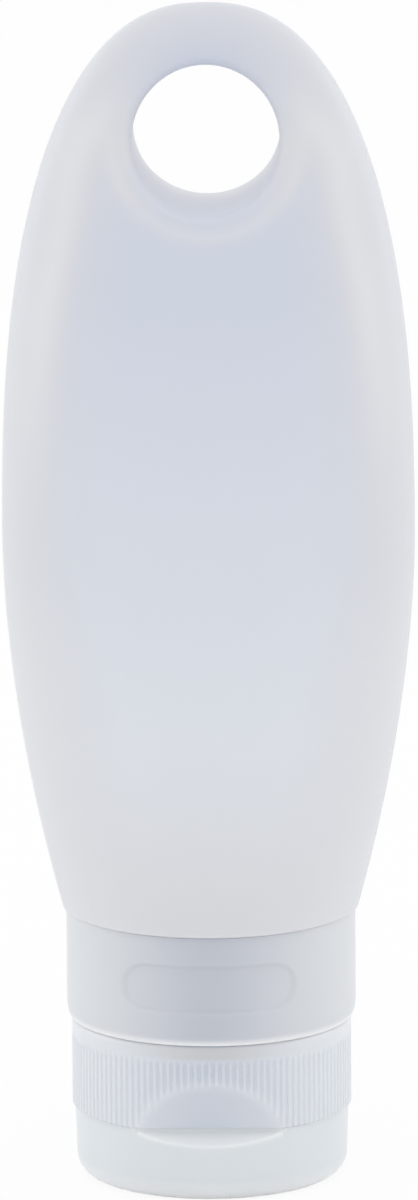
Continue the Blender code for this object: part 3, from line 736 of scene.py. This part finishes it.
class BOTTLE_OT_body(bpy.types.Operator):
    """Build the silicone shell with its hanging hole and hollow"""

    bl_idname = "squeeze_bottle.body"
    bl_label = "Silicone Shell"

    def execute(self, context):
        sizes = context.scene.squeeze_bottle.body
        outer = Lens(sizes)
        hollow = Lens(sizes, sizes.wall, sizes.crown_wall)
        hole_z = outer.hole_z
        ring_radius = sizes.hole_radius + sizes.ring_wall
        mouth = sizes.hole_radius + sizes.hole_edge
        corner = (outer.belly + hole_z) / 2

        def from_hole(x, z):
            return math.hypot(x, z - hole_z)

        def ridge_share(x, z):
            """One on the middle of the soft ridges beside the crown, and nothing below the belly."""
            place = RIDGE_PLACE - RIDGE_SHIFT * smooth_step(hole_z - ring_radius, hole_z, z)
            aside = (from_side(hollow, x, z) - place) / RIDGE_WIDTH
            rising = smooth_step(outer.belly, hole_z - RIDGE_LOW * ring_radius, z)
            ending = smooth_step(hole_z + RIDGE_HIGH * ring_radius, hole_z, z)
            return math.exp(-(aside**2)) * rising * ending

        def brow_share(x, z):
            """One at the hole's edge straight above its middle."""
            away = from_hole(x, z)
            near = max(0, min(1, 1 - (away - sizes.hole_radius) / BROW_WIDTH))
            return near**BROW_POWER * max(0, (z - hole_z) / away) ** BROW_FOCUS

        def relief(x, y, z):
            """The soft ridges, and a brow that rolls back above the hole."""
            change = sizes.ridge * ridge_share(x, z) - BROW_DEPTH * brow_share(x, z)
            room = smooth_step(0, RELIEF_DEPTH, abs(y))
            return x, y + math.copysign(change * room, y), z

        def beside_share(x, z):
            """One at the level of the hole's middle, on both sides of it."""
            away = from_hole(x, z)
            near = 1 - smooth_step(ring_radius, ring_radius + sizes.ring_fade, away)
            return (x / away) ** BESIDE_FOCUS * near

        def side_share(x, y, z):
            """Paler along the sides and beside the hole: partly the solid silicone there, partly painted
            light.
            """
            inside = from_side(hollow, x, z)
            return max(beside_share(x, z), 1 - smooth_step(0, sizes.side_fade, inside))

        def ring_share(x, y, z):
            """One on the solid ring round the hole."""
            past_ring = from_hole(x, z) - ring_radius
            return 1 - smooth_step(-sizes.ring_fade / 2, sizes.ring_fade, past_ring)

        def lip_share(x, y, z):
            """One on the hole's far lip."""
            lip_y = sizes.hole_length / 2
            far = smooth_step(lip_y - 2 * sizes.hole_edge, lip_y, y)
            return far * smooth_step(mouth, sizes.hole_radius, from_hole(x, z))

        def painted_highlight_share(x, y, z):
            """Painted highlights on the ridges, the sides low down, the arc round the ring and the hole's
            far lip, and painted light beside the hole.
            """
            below_hole = smooth_step(hole_z + ring_radius / 3, hole_z - ring_radius / 2, z)
            past_ring = (from_hole(x, z) - ring_radius) / ARC_WIDTH
            arc = math.exp(-(past_ring**2)) / 2
            low = smooth_step(outer.belly, outer.belly - LOW_FADE, z) * side_share(x, y, z)
            sides = BESIDE_PAINTED_LIGHT * beside_share(x, z) + LOW_SIDE_PAINTED_LIGHT * low
            return min(1, ridge_share(x, z) + sides + (arc + lip_share(x, y, z)) * below_hole)

        def painted_shade_share(x, y, z):
            """Painted shade on the brow, and faintly on the lower half of the hole's wall but for its far
            lip.
            """
            inside = smooth_step(mouth, sizes.hole_radius, from_hole(x, z))
            low_bore = inside * smooth_step(hole_z, hole_z - sizes.hole_radius / 2, z)
            return max(brow_share(x, z), BORE_SHADE * low_bore * (1 - lip_share(x, y, z)))

        mesh_data = bmesh.new()
        level = outer.section(corner, sizes.columns)
        bottom = [x for x, _, _ in level[: sizes.columns // 2 + 1]]
        side = outer.side(corner, outer.top, 2 * sizes.rows)
        front, back = fan(outer, mouth, corner, side, bottom, sizes.rows, relief)
        skin(mesh_data, front)
        skin(mesh_data, back)
        skin(mesh_data, hole_wall(front, back, mouth, sizes.hole_edge, hole_z))

        foot_low = COLLAR_HIGH.z + SEAM_GAP
        foot_z = foot_low + sizes.foot_round
        neck_radius = COLLAR_RADIUS - context.scene.squeeze_bottle.collar.wall - GAP
        bore = neck_radius - NECK_SKIN
        heights = even_steps(corner, foot_z, 2 * sizes.rows)[1:]
        rows = [level, *(outer.section(z, sizes.columns) for z in heights)]
        rows = [[relief(*point) for point in row] for row in rows]
        centre = (outer.half_width(foot_z) - sizes.foot_round, foot_z)
        profile = arc_points(centre, sizes.foot_round, sizes.foot_round, 0, -90, 5)[1:]
        profile += [(neck_radius, foot_low), (neck_radius, BODY_LOW.z), (bore, BODY_LOW.z), (bore, foot_z)]
        rows += rings(profile, turns(sizes.columns))
        heights = even_steps(foot_z + SHOULDER, corner, sizes.rows)
        inner = [hollow.section(z, sizes.columns) for z in heights]
        skin(mesh_data, rows + inner)

        bottom = [x for x, _, _ in inner[-1][: sizes.columns // 2 + 1]]
        side = hollow.side(corner, meeting_height(hollow, ring_radius, corner), sizes.rows)
        front, back = fan(hollow, ring_radius, corner, side, bottom, sizes.rows // 2)
        for grid in (front, back, [front[0], back[0]]):
            skin(mesh_data, grid, closed=False)

        shell = make_piece("silicone_shell", mesh_data, "frosted_silicone", "bottle", ["bottle_body"])
        # Paler sides and silicone beside the hole, partly solid silicone and partly painted light
        write_share(shell, "side_share", side_share)
        write_share(shell, "ring_share", ring_share)
        # Painted highlights on the ridges, the low sides, the ring's edge and the far lip
        write_share(shell, "ridge_share", painted_highlight_share)
        # Painted shade on the brow and the hole's lower wall
        write_share(shell, "brow_share", painted_shade_share)
        return {"FINISHED"}


def stadium_distance(x, z, half_straight, radius):
    """How far a point lies outside a stadium, and negative inside it."""
    return math.hypot(max(0, abs(x) - half_straight), z) - radius


COLLAR_LIP_HEIGHT = 1.3 * MM  # of the lip under the neck's flange
COLLAR_TOP_EDGE = 0.1 * MM  # round of the edge under the shell
COLLAR_HIGHLIGHT_HEIGHT = 1.1 * MM  # height of the painted highlight along the lower edge
PANEL_EDGE = 0.45 * MM  # width of the panel's sloping edge


class BOTTLE_OT_collar(bpy.types.Operator):
    """Build the smooth collar with its bare panel"""

    bl_idname = "squeeze_bottle.collar"
    bl_label = "Collar"

    def execute(self, context):
        sizes = context.scene.squeeze_bottle.collar
        half_panel = sizes.panel_height / 2
        half_straight = sizes.panel_width / 2 - half_panel
        middle_z = COLLAR_LOW.z + sizes.panel_middle

        def press_panel(x, y, z):
            radius = math.hypot(x, y)
            if y > 0 or radius < COLLAR_RADIUS - sizes.panel_depth:
                return x, y, z
            outside = stadium_distance(x, z - middle_z, half_straight, half_panel)
            sink = sizes.panel_depth * (1 - smooth_step(-PANEL_EDGE, 0, outside))
            way = (radius - sink) / radius
            return x * way, y * way, z

        hole = NECK_RADIUS + GAP
        bore = COLLAR_RADIUS - sizes.wall
        lip_z = COLLAR_LOW.z + COLLAR_LIP_HEIGHT
        foot = (COLLAR_RADIUS - sizes.foot_depth, COLLAR_LOW.z + sizes.foot_height)
        top = (COLLAR_RADIUS - COLLAR_TOP_EDGE, COLLAR_HIGH.z - COLLAR_TOP_EDGE)
        profile = [(hole, COLLAR_LOW.z)]
        profile += arc_points(foot, sizes.foot_depth, sizes.foot_height, -90, 0, 8)
        low, high = middle_z - half_panel - PANEL_EDGE, middle_z + half_panel + PANEL_EDGE
        profile += [(COLLAR_RADIUS, z) for z in even_steps(low, high, 44)]
        profile += arc_points(top, COLLAR_TOP_EDGE, COLLAR_TOP_EDGE, 0, 90, 4)
        profile += [(bore, COLLAR_HIGH.z), (bore, lip_z), (hole, lip_z)]
        mesh_data = bmesh.new()
        skin(mesh_data, rings(profile, turns(sizes.columns), press_panel), looped=True)
        sleeve = make_piece("collar_sleeve", mesh_data, "translucent_polypropylene", "bottle", ["collar"])
        # Painted shade on the collar's front and back
        write_share(sleeve, "painted_front_back_shade", front_back_shade_mask(COLLAR_RADIUS))
        # Painted highlight along the collar's lower edge
        collar_highlight_z = COLLAR_LOW.z + COLLAR_HIGHLIGHT_HEIGHT
        write_share(sleeve, "edge_highlight_share", lambda x, y, z: smooth_step(collar_highlight_z, COLLAR_LOW.z, z))
        return {"FINISHED"}


class Notch:
    """The curved hollow of the thumb notch, and the same curve moved inwards."""

    def __init__(self, sizes):
        root = Vector((sizes.notch_depth - CAP_RADIUS, PARTING_Z))
        apex = Vector((-CAP_RADIUS, PARTING_Z + sizes.notch_height))
        chord = apex - root
        rise = math.sqrt(sizes.notch_curve**2 - (chord.length / 2) ** 2)
        self.centre = (root + apex) / 2 + chord.orthogonal().normalized() * rise
        self.curve = sizes.notch_curve

    def front(self, z, inset=0):
        """The y of the hollow at a height."""
        radius = self.curve + inset
        return self.centre.x + math.sqrt(max(0, radius**2 - (z - self.centre.y) ** 2))


RIB_STEPS = 6  # faces across each rib and its groove
RIB_FLANK = (0.12, 0.38)  # shares of the rib pitch between which a groove's flank falls
RIB_RUN = 0.8 * MM  # height over which the grooves run out
CAP_CHAMFER = 0.06 * MM  # at the parting line
CAP_SOFTNESS = 0.4 * MM  # of the edges inside
CAP_EDGE_HEIGHT, CAP_EDGE_DEPTH = 0.7 * MM, 0.3 * MM  # of the round under the collar
CAP_RISE = 0.24 * MM  # how far that round reaches up under the collar
SEAT_DEPTH, SEAT_WALL = 2.9 * MM, 1.2 * MM  # of the valve's seat
SEAT_STEP = 2.7 * MM  # from the orifice to the seat's wall
NOTCH_WALL = 1.0 * MM  # behind the notch
NOTCH_EDGE = 0.22 * MM  # softness of the notch's edge
ARCH_HIGHLIGHT_WIDTH, ARCH_HIGHLIGHT_STRENGTH = 0.5 * MM, 0.25  # half width and strength of the painted highlight along that edge


class BOTTLE_OT_cap(bpy.types.Operator):
    """Build the ribbed screw cap with its spout, seat and thumb notch"""

    bl_idname = "squeeze_bottle.cap"
    bl_label = "Ribbed Cap"

    def execute(self, context):
        sizes = context.scene.squeeze_bottle.cap
        notch = Notch(sizes)
        pocket_z = PARTING_Z + POCKET_HEIGHT
        rib_top = CAP_HIGH.z - sizes.band_height
        run_out_z = rib_top - RIB_RUN
        notch_top = PARTING_Z + sizes.notch_height + NOTCH_EDGE
        seat_top = DECK_TOP_Z + SEAT_DEPTH

        def outer_shape(x, y, z):
            y = soft_max(y, notch.front(z), NOTCH_EDGE)
            return x, cut_flat(x, y) if z < pocket_z else y, z

        def inner_shape(x, y, z):
            return x, max(y, notch.front(z, NOTCH_WALL)), z

        def rib_ring(radius, z, depth):
            """A ring of points, with grooves of this depth between the ribs."""
            ring = []
            for i, angle in enumerate(turns(sizes.rib_count * RIB_STEPS)):
                part = i % RIB_STEPS / RIB_STEPS
                r = radius - depth * smooth_step(*RIB_FLANK, abs(part - round(part)))
                ring.append(outer_shape(r * math.cos(angle), r * math.sin(angle), z))
            return ring

        mesh_data = bmesh.new()
        outer = [rib_ring(CAP_RADIUS - CAP_CHAMFER, CAP_LOW_Z, sizes.rib_depth - CAP_CHAMFER)]
        heights = even_steps(CAP_LOW_Z + CAP_CHAMFER, notch_top, 32)
        heights += even_steps(notch_top, run_out_z, 3)[1:] + even_steps(run_out_z, rib_top, 4)[1:]
        for z in heights:
            outer.append(rib_ring(CAP_RADIUS, z, sizes.rib_depth * min(1, (rib_top - z) / RIB_RUN)))
        shoulder = (CAP_RADIUS - CAP_EDGE_DEPTH, CAP_HIGH.z + CAP_RISE - CAP_EDGE_HEIGHT)
        for radius, z in arc_points(shoulder, CAP_EDGE_DEPTH, CAP_EDGE_HEIGHT, 0, 90, 7):
            outer.append(rib_ring(radius, z, 0))
        outer_rings = skin(mesh_data, outer)

        orifice = sizes.orifice_radius
        spout = orifice + sizes.spout_wall
        seat_bore = orifice + SEAT_STEP
        seat = seat_bore + SEAT_WALL
        bore = CAP_RADIUS - sizes.wall
        under = CAP_RADIUS - sizes.notch_depth - NOTCH_WALL
        soft = CAP_SOFTNESS
        tip_z = CAP_LOW.z + soft
        profile = [(under, CAP_LOW_Z), (spout + soft, CAP_LOW_Z), (spout, CAP_LOW_Z - soft), (spout, tip_z)]
        profile += arc_points((spout - soft, tip_z), soft, soft, 0, -90, 3)[1:]
        profile += arc_points((orifice + soft, tip_z), soft, soft, -90, -180, 3)
        profile += [(orifice, DECK_TOP_Z), (seat_bore, DECK_TOP_Z), (seat_bore, seat_top)]
        profile += [(seat, seat_top), (seat, DECK_TOP_Z), (bore - soft, DECK_TOP_Z)]
        profile += [(bore, z) for z in even_steps(DECK_TOP_Z + soft, notch_top, 10)]
        profile += [(bore, CAP_HIGH.z - soft), (bore + soft, CAP_HIGH.z + CAP_RISE)]
        inner_rings = skin(mesh_data, rings(profile, turns(sizes.rib_count), inner_shape))
        narrow(mesh_data, outer_rings[0], inner_rings[0])
        narrow(mesh_data, outer_rings[-1], inner_rings[-1])
        piece = make_piece("ribbed_cap", mesh_data, "translucent_polypropylene", "cap", ["cap_base"])
        # Painted shade on the cap's front and back
        write_share(piece, "painted_front_back_shade", front_back_shade_mask(CAP_RADIUS))

        def arch_highlight(x, y, z):
            """Painted highlight: one where the notch cuts the cap's wall, in a line as wide as its rounded
            edge.
            """
            at_wall = (y + math.sqrt(max(0, CAP_RADIUS**2 - x**2))) / ARCH_HIGHLIGHT_WIDTH
            in_notch = (y - notch.front(z)) / ARCH_HIGHLIGHT_WIDTH
            return ARCH_HIGHLIGHT_STRENGTH * math.exp(-(at_wall**2) - in_notch**2) if y < 0 else 0.0

        # Painted highlight along the notch's edge
        write_share(piece, "edge_highlight_share", arch_highlight)
        return {"FINISHED"}


LID_CHAMFER = 0.07 * MM  # of the rim and of the flat behind the hinge
LID_INNER_ROUND = 1.0 * MM  # between rim and floor
PLUG_ROOM = 0.4 * MM  # between plug and orifice
PLUG_WALL = 0.9 * MM
PLUG_TIP = 0.5 * MM  # chamfer of the plug
LEDGE_HIGHLIGHT_WIDTH, LEDGE_HIGHLIGHT_STRENGTH = 0.3 * MM, 0.6  # half width and strength of the painted highlight along the ledge
LEDGE_BACKING = 1.4 * MM  # thickness of the wall behind the ledge
BACKING_HEIGHT = 4.6 * MM  # how far down that wall reaches
BACKING_SLOPE = 3  # of the foot of that wall


class BOTTLE_OT_lid(bpy.types.Operator):
    """Build the flip lid with its plug and thumb ledge"""

    bl_idname = "squeeze_bottle.lid"
    bl_label = "Flip Lid"

    def execute(self, context):
        sizes = context.scene.squeeze_bottle.lid
        cap = context.scene.squeeze_bottle.cap
        rim_radius = LID_HIGH.x
        face_radius = rim_radius - sizes.draft
        ledge_y = cap.notch_depth - CAP_RADIUS + sizes.ledge_setback
        root_z = PARTING_Z - sizes.ledge_drop
        slope = sizes.ledge_fall / (rim_radius + ledge_y)
        backing_y = ledge_y + LEDGE_BACKING
        backing_z = LID_TOP_Z - BACKING_HEIGHT
        pocket_z = PARTING_Z - POCKET_HEIGHT

        front = -math.pi / 2
        half_ledge = math.acos(-ledge_y / rim_radius)
        first, last = front - half_ledge, front + half_ledge
        ledge_columns = round(sizes.columns * half_ledge / math.pi)
        other_columns = sizes.columns - ledge_columns
        angles = [(angle, True) for angle in even_steps(first, last, ledge_columns)]
        angles += [(angle, False) for angle in even_steps(last, first + 2 * math.pi, other_columns)]

        def place(angle, radius, z):
            x, y = radius * math.cos(angle), radius * math.sin(angle)
            return x, cut_flat(x, y) if z > pocket_z else y, z

        def inner(angle, radius, z):
            x, y = radius * math.cos(angle), radius * math.sin(angle)
            return x, max(y, backing_y - max(0, backing_z - z) * BACKING_SLOPE), z

        def column(angle, on_ledge):
            """The points of the lid's outside from its face up its wall to the top of its rim."""
            centre = (face_radius - sizes.edge, sizes.edge)
            points = [place(angle, face_radius - sizes.edge, 0)]
            points += [place(angle, *p) for p in arc_points(centre, sizes.edge, sizes.edge, -90, 0, 8)[1:]]
            top = LID_TOP_Z
            if on_ledge:
                top = root_z + slope * (rim_radius * math.sin(angle) - ledge_y)
            heights = even_steps(sizes.edge, pocket_z - LID_CHAMFER, 4)[1:]
            heights += even_steps(pocket_z + LID_CHAMFER, top - LID_CHAMFER, 4)
            for z in heights:
                out = face_radius + sizes.draft * (z - sizes.edge) / (LID_TOP_Z - sizes.edge)
                points.append(place(angle, out, z))
            if not on_ledge:
                return points + [place(angle, rim_radius - LID_CHAMFER, top)] * 3
            at_root = ledge_y / math.sin(angle)
            points.append(place(angle, max(at_root, rim_radius - LID_CHAMFER), top))
            return [*points, place(angle, at_root, root_z), place(angle, at_root, LID_TOP_Z)]

        mesh_data = bmesh.new()
        columns = [column(angle, on_ledge) for angle, on_ledge in angles]
        rows = [list(row) for row in zip(*columns)]
        bore = rim_radius - sizes.wall
        plug = cap.orifice_radius - PLUG_ROOM
        plug_top = CAP_LOW.z + sizes.plug_reach
        tip = PLUG_TIP
        profile = [(bore, z) for z in even_steps(LID_TOP_Z, sizes.floor + LID_INNER_ROUND, 12)]
        corner = (bore - LID_INNER_ROUND, sizes.floor + LID_INNER_ROUND)
        profile += arc_points(corner, LID_INNER_ROUND, LID_INNER_ROUND, 0, -90, 4)[1:]
        profile += [(plug + tip, sizes.floor), (plug, sizes.floor + tip), (plug, plug_top - tip)]
        profile += [(plug - tip, plug_top), (plug - PLUG_WALL, plug_top)]
        profile += [(plug - PLUG_WALL, sizes.floor)]
        for radius, z in profile:
            rows.append([inner(angle, radius, z) for angle, _ in angles])
        skin(mesh_data, rows, ends=True)
        piece = make_piece("flip_lid", mesh_data, "translucent_polypropylene", "lid", ["cap_lid"])

        def ledge_highlight(x, y, z):
            """Painted highlight along the outer edge of the thumb ledge, and fainter along its root."""
            if y > ledge_y + LEDGE_HIGHLIGHT_WIDTH or z < PARTING_Z - 3 * sizes.ledge_fall:
                return 0.0
            aside = (math.hypot(x, y) - rim_radius) / LEDGE_HIGHLIGHT_WIDTH
            below = (root_z + slope * (y - ledge_y) - z) / LEDGE_HIGHLIGHT_WIDTH
            inside = (y - ledge_y) / LEDGE_HIGHLIGHT_WIDTH
            rim_or_root = min(1, math.exp(-(aside**2)) + math.exp(-(inside**2)) / 2)
            return LEDGE_HIGHLIGHT_STRENGTH * rim_or_root * math.exp(-(below**2))

        # Painted highlight along the ledge
        write_share(piece, "edge_highlight_share", ledge_highlight)
        return {"FINISHED"}


WEB_REACH = 2.2 * MM  # of the web above and below the hinge
WEB_THINNING = 0.45  # of the web's thickness, on the line where it bends
WEB_BEND = 0.4 * MM  # half the height of that thin line


class BOTTLE_OT_hinge(bpy.types.Operator):
    """Build the web of the living hinge, which on the real bottle bends as the lid opens; here it keeps its
    closed shape
    """

    bl_idname = "squeeze_bottle.hinge"
    bl_label = "Hinge Web"

    def execute(self, context):
        sizes = context.scene.squeeze_bottle.neck
        root_y = CAP_RADIUS - HINGE_INSET - sizes.web_thickness / 2
        heights = even_steps(-WEB_REACH, WEB_REACH, 24)
        rows = []
        for x in even_steps(HINGE_LOW.x, HINGE_HIGH.x, 18):
            loop = []
            for facing, order in ((1, heights), (-1, heights[::-1])):
                for up in order:
                    bulge = math.cos(math.pi / 2 * up / WEB_REACH) ** 2
                    thick = sizes.web_thickness * (1 - WEB_THINNING * math.exp(-((up / WEB_BEND) ** 2)))
                    middle = root_y + (HINGE_Y - root_y) * bulge
                    loop.append((x, middle + facing * thick / 2, PARTING_Z + up))
            rows.append(loop)
        mesh_data = bmesh.new()
        skin(mesh_data, rows, ends=True)
        web = make_piece("hinge_web", mesh_data, "translucent_polypropylene", replaces=["living_hinge"])
        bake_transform(web)
        return {"FINISHED"}


THREAD_ROOT, THREAD_CREST = 1.5 * MM, 0.6 * MM  # widths of the ridge at its root and at its crest
NECK_THREAD_DEGREES, CAP_THREAD_DEGREES = 380, 400  # how far each thread goes round
THREAD_STEP = 4  # degrees from one row of the thread's points to the next
THREAD_RUN_OUT = 0.09  # share of the thread's length over which each end runs out
THREAD_SINK = 0.15 * MM  # how deep its root lies in the wall
THREAD_START = math.radians(-55)
THREAD_LOW = 1.75 * MM  # above the neck's rim


def thread(root_radius, height, start, degrees):
    """A right-hand thread ridge, outwards for a positive height, whose ends run out into the wall."""
    root = root_radius - math.copysign(THREAD_SINK, height)
    rows = []
    for t in even_steps(0, 1, int(degrees / THREAD_STEP)):
        angle = start + math.radians(degrees) * t
        z = NECK_LOW.z + THREAD_LOW + PITCH * degrees / 360 * t
        full = smooth_step(0, THREAD_RUN_OUT, t) * smooth_step(0, THREAD_RUN_OUT, 1 - t)
        corners = [(root, -THREAD_ROOT / 2), (root_radius + height * full, -THREAD_CREST / 2)]
        corners += [(r, -up) for r, up in reversed(corners)]
        rows.append([(r * math.cos(angle), r * math.sin(angle), z + up) for r, up in corners])
    mesh_data = bmesh.new()
    skin(mesh_data, rows, ends=True)
    return mesh_data


def dress(node, slot):
    """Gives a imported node, which keeps its own mesh, the slot's material."""
    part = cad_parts[node]
    part.data.materials.clear()
    part.data.materials.append(material_for(slot))


class BOTTLE_OT_neck(bpy.types.Operator):
    """Dress the neck with its thread, and the cap with the thread that it screws into"""

    bl_idname = "squeeze_bottle.neck"
    bl_label = "Neck and Threads"

    def execute(self, context):
        sizes = context.scene.squeeze_bottle.neck
        bore = CAP_RADIUS - context.scene.squeeze_bottle.cap.wall
        outside = thread(NECK_RADIUS, sizes.thread_height, THREAD_START, NECK_THREAD_DEGREES)
        make_piece("neck_thread", outside, "neck_polypropylene", "bottle")
        opposite = THREAD_START + math.pi
        inside = thread(bore, -sizes.thread_height, opposite, CAP_THREAD_DEGREES)
        make_piece("cap_thread", inside, "translucent_polypropylene", "cap")
        dress("neck_ring", "neck_polypropylene")
        dress("valve_retainer", "neck_polypropylene")
        return {"FINISHED"}


SLIT_WIDTH = 0.12 * MM


class BOTTLE_OT_seals(bpy.types.Operator):
    """Build the slit valve and the gasket"""

    bl_idname = "squeeze_bottle.seals"
    bl_label = "Valve and Gasket"

    def execute(self, context):
        sizes = context.scene.squeeze_bottle.neck
        dress("cap_gasket", "seal_silicone")
        dress("slit_valve", "seal_silicone")
        mesh_data = bmesh.new()
        half_width, half_length = SLIT_WIDTH / 2, sizes.slit_length / 2
        for across, along in ((half_width, half_length), (half_length, half_width)):
            corners = [(across, along), (-across, along), (-across, -along), (across, -along)]
            rows = [[(x, y, z) for x, y in corners] for z in (VALVE_LOW.z - MM, VALVE_HIGH.z + MM)]
            skin(mesh_data, rows, ends=True)
        cutter = add_mesh("slit_blades", mesh_data)
        cutter.hide_render = True
        cutter.hide_viewport = True
        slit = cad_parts["slit_valve"].modifiers.new("slit", "BOOLEAN")
        slit.object = cutter
        slit.use_self = True
        return {"FINISHED"}


# Places and sizes of the stage are in metres
WHITE = (1.0, 1.0, 1.0, 1.0)
FLOOR_PAINT = (0.9, 0.9, 0.9, 1.0)
FLOOR_RADIUS = 6.0  # reaches past what the camera sees
FLOOR_CORNERS = 64
FLOOR_DROP = 0.02 * MM  # keeps the floor clear of the lid's face
CAMERA_REACH = 20.0
SIDE_LAMP_PLACE = (0.62, 0.16)  # beside and behind the bottle, and mirrored
SIDE_LAMP_SIZE = (0.35, 0.7)
SIDE_LAMP_RISE = 1.6  # its height as a share of the height that the camera looks at
TOP_LAMP_PLACE = (0.0, -0.1, 0.85)
TOP_LAMP_SIZE = (0.7, 0.7)


def look_from(place, target):
    """The rotation of a camera or lamp that looks from one place at another."""
    return (Vector(target) - Vector(place)).to_track_quat("-Z", "Y").to_euler()


def add_lamp(name, place, target, width, height, radiance):
    """A soft rectangular lamp whose brightness is that of its own face."""
    data = bpy.data.lights.new(name, "AREA")
    data.shape = "RECTANGLE"
    data.size = width
    data.size_y = height
    data.energy = radiance * math.pi * width * height
    lamp = add_object(name, data)
    lamp.location = place
    lamp.rotation_euler = look_from(place, target)


def add_camera(sizes, target):
    """The camera, as far away as its lens needs for the height of the picture."""
    data = bpy.data.cameras.new("camera")
    data.lens = sizes.lens
    data.clip_end = CAMERA_REACH
    distance = sizes.frame_height * data.lens / data.sensor_width
    across = math.cos(sizes.elevation) * distance
    up = math.sin(sizes.elevation) * distance
    place = (math.sin(sizes.azimuth) * across, -math.cos(sizes.azimuth) * across, target[2] + up)
    camera = add_object("camera", data)
    camera.location = place
    camera.rotation_euler = look_from(place, target)
    camera.rotation_euler.rotate_axis("Z", sizes.roll)
    return camera


def seen_directly(tree):
    """One for what the camera sees itself, in a reflection or through something clear."""
    path = add_node(tree, "ShaderNodeLightPath")
    seen = path.outputs["Is Camera Ray"]
    for ray in ("Is Glossy Ray", "Is Transmission Ray"):
        links = {0: seen, 1: path.outputs[ray]}
        seen = add_node(tree, "ShaderNodeMath", {"operation": "MAXIMUM"}, links=links).outputs["Value"]
    return seen


def add_floor(shadow):
    """A floor that shows pure white but for a share of the object's shadow, and nothing from below."""
    material = bpy.data.materials.new("painted_white_floor")
    tree = start_nodes(material)
    paint = add_node(tree, "ShaderNodeBsdfDiffuse", values={"Color": FLOOR_PAINT, "Roughness": 0.5})
    glow = add_node(tree, "ShaderNodeEmission", values={"Color": WHITE, "Strength": 1.0})
    plain = {"operation": "MULTIPLY"}
    shown = add_node(tree, "ShaderNodeMath", plain, values={1: 1 - shadow}, links={0: seen_directly(tree)})
    links = {0: shown.outputs["Value"], 1: paint.outputs["BSDF"], 2: glow.outputs["Emission"]}
    lit = add_node(tree, "ShaderNodeMixShader", links=links)
    facing = add_node(tree, "ShaderNodeNewGeometry")
    clear = add_node(tree, "ShaderNodeBsdfTransparent")
    links = {0: facing.outputs["Backfacing"], 1: lit.outputs["Shader"], 2: clear.outputs["BSDF"]}
    both = add_node(tree, "ShaderNodeMixShader", links=links)
    add_node(tree, "ShaderNodeOutputMaterial", links={"Surface": both.outputs["Shader"]})
    mesh_data = bmesh.new()
    rim = rings([(FLOOR_RADIUS, 0)], turns(FLOOR_CORNERS))[0]
    mesh_data.faces.new([mesh_data.verts.new(point) for point in rim])
    mesh = bpy.data.meshes.new("floor")
    mesh_data.to_mesh(mesh)
    mesh_data.free()
    mesh.materials.append(material)
    floor = add_object("floor", mesh)
    floor.location.z = -FLOOR_DROP


def white_room(dome):
    """A world that lights the object evenly and shows white behind it."""
    world = bpy.data.worlds.new("white_room")
    tree = start_nodes(world)
    links = {0: seen_directly(tree)}
    for socket, strength in ((1, dome), (2, 1.0)):
        values = {"Color": WHITE, "Strength": strength}
        links[socket] = add_node(tree, "ShaderNodeBackground", values=values).outputs["Background"]
    both = add_node(tree, "ShaderNodeMixShader", links=links)
    add_node(tree, "ShaderNodeOutputWorld", links={"Surface": both.outputs["Shader"]})
    return world


class BOTTLE_OT_stage(bpy.types.Operator):
    """Set up the camera, the white floor, the room and the lamps"""

    bl_idname = "squeeze_bottle.stage"
    bl_label = "Stage"

    def execute(self, context):
        sizes = context.scene.squeeze_bottle.stage
        target = (0, 0, sizes.target_height)
        context.scene.camera = add_camera(sizes, target)
        add_floor(sizes.shadow)
        context.scene.world = white_room(sizes.dome)
        x, y = SIDE_LAMP_PLACE
        for side in (-1, 1):
            place = (side * x, y, SIDE_LAMP_RISE * sizes.target_height)
            add_lamp(f"side_lamp_{side}", place, target, *SIDE_LAMP_SIZE, sizes.side_lamps)
        add_lamp("top_lamp", TOP_LAMP_PLACE, target, *TOP_LAMP_SIZE, sizes.top_lamp)
        context.scene.view_settings.view_transform = "Standard"
        return {"FINISHED"}


OPERATORS = (
    BOTTLE_OT_body,
    BOTTLE_OT_collar,
    BOTTLE_OT_cap,
    BOTTLE_OT_lid,
    BOTTLE_OT_hinge,
    BOTTLE_OT_neck,
    BOTTLE_OT_seals,
    BOTTLE_OT_stage,
)


class BOTTLE_PT_panel(bpy.types.Panel):
    """Lists the steps that build the bottle"""

    bl_idname = "BOTTLE_PT_panel"
    bl_label = "Squeeze Bottle"
    bl_space_type = "VIEW_3D"
    bl_region_type = "UI"
    bl_category = "Squeeze Bottle"

    def draw(self, context):
        settings = context.scene.squeeze_bottle
        for operator in OPERATORS:
            self.layout.operator(operator.bl_idname)
        for name in GROUPS:
            box = self.layout.box()
            group = getattr(settings, name)
            box.label(text=name.capitalize())
            for field in group.bl_rna.properties.keys():
                if field not in ("rna_type", "name"):
                    box.prop(group, field)


CLASSES = (*GROUPS.values(), BottleSettings, *OPERATORS, BOTTLE_PT_panel)


def register():
    for item in CLASSES:
        bpy.utils.register_class(item)
    bpy.types.Scene.squeeze_bottle = bpy.props.PointerProperty(type=BottleSettings)


def unregister():
    del bpy.types.Scene.squeeze_bottle
    for item in reversed(CLASSES):
        bpy.utils.unregister_class(item)


def main():
    """Builds every piece."""
    register()
    for operator in OPERATORS:
        group, name = operator.bl_idname.split(".")
        getattr(getattr(bpy.ops, group), name)()


if __name__ == "__main__":
    main()
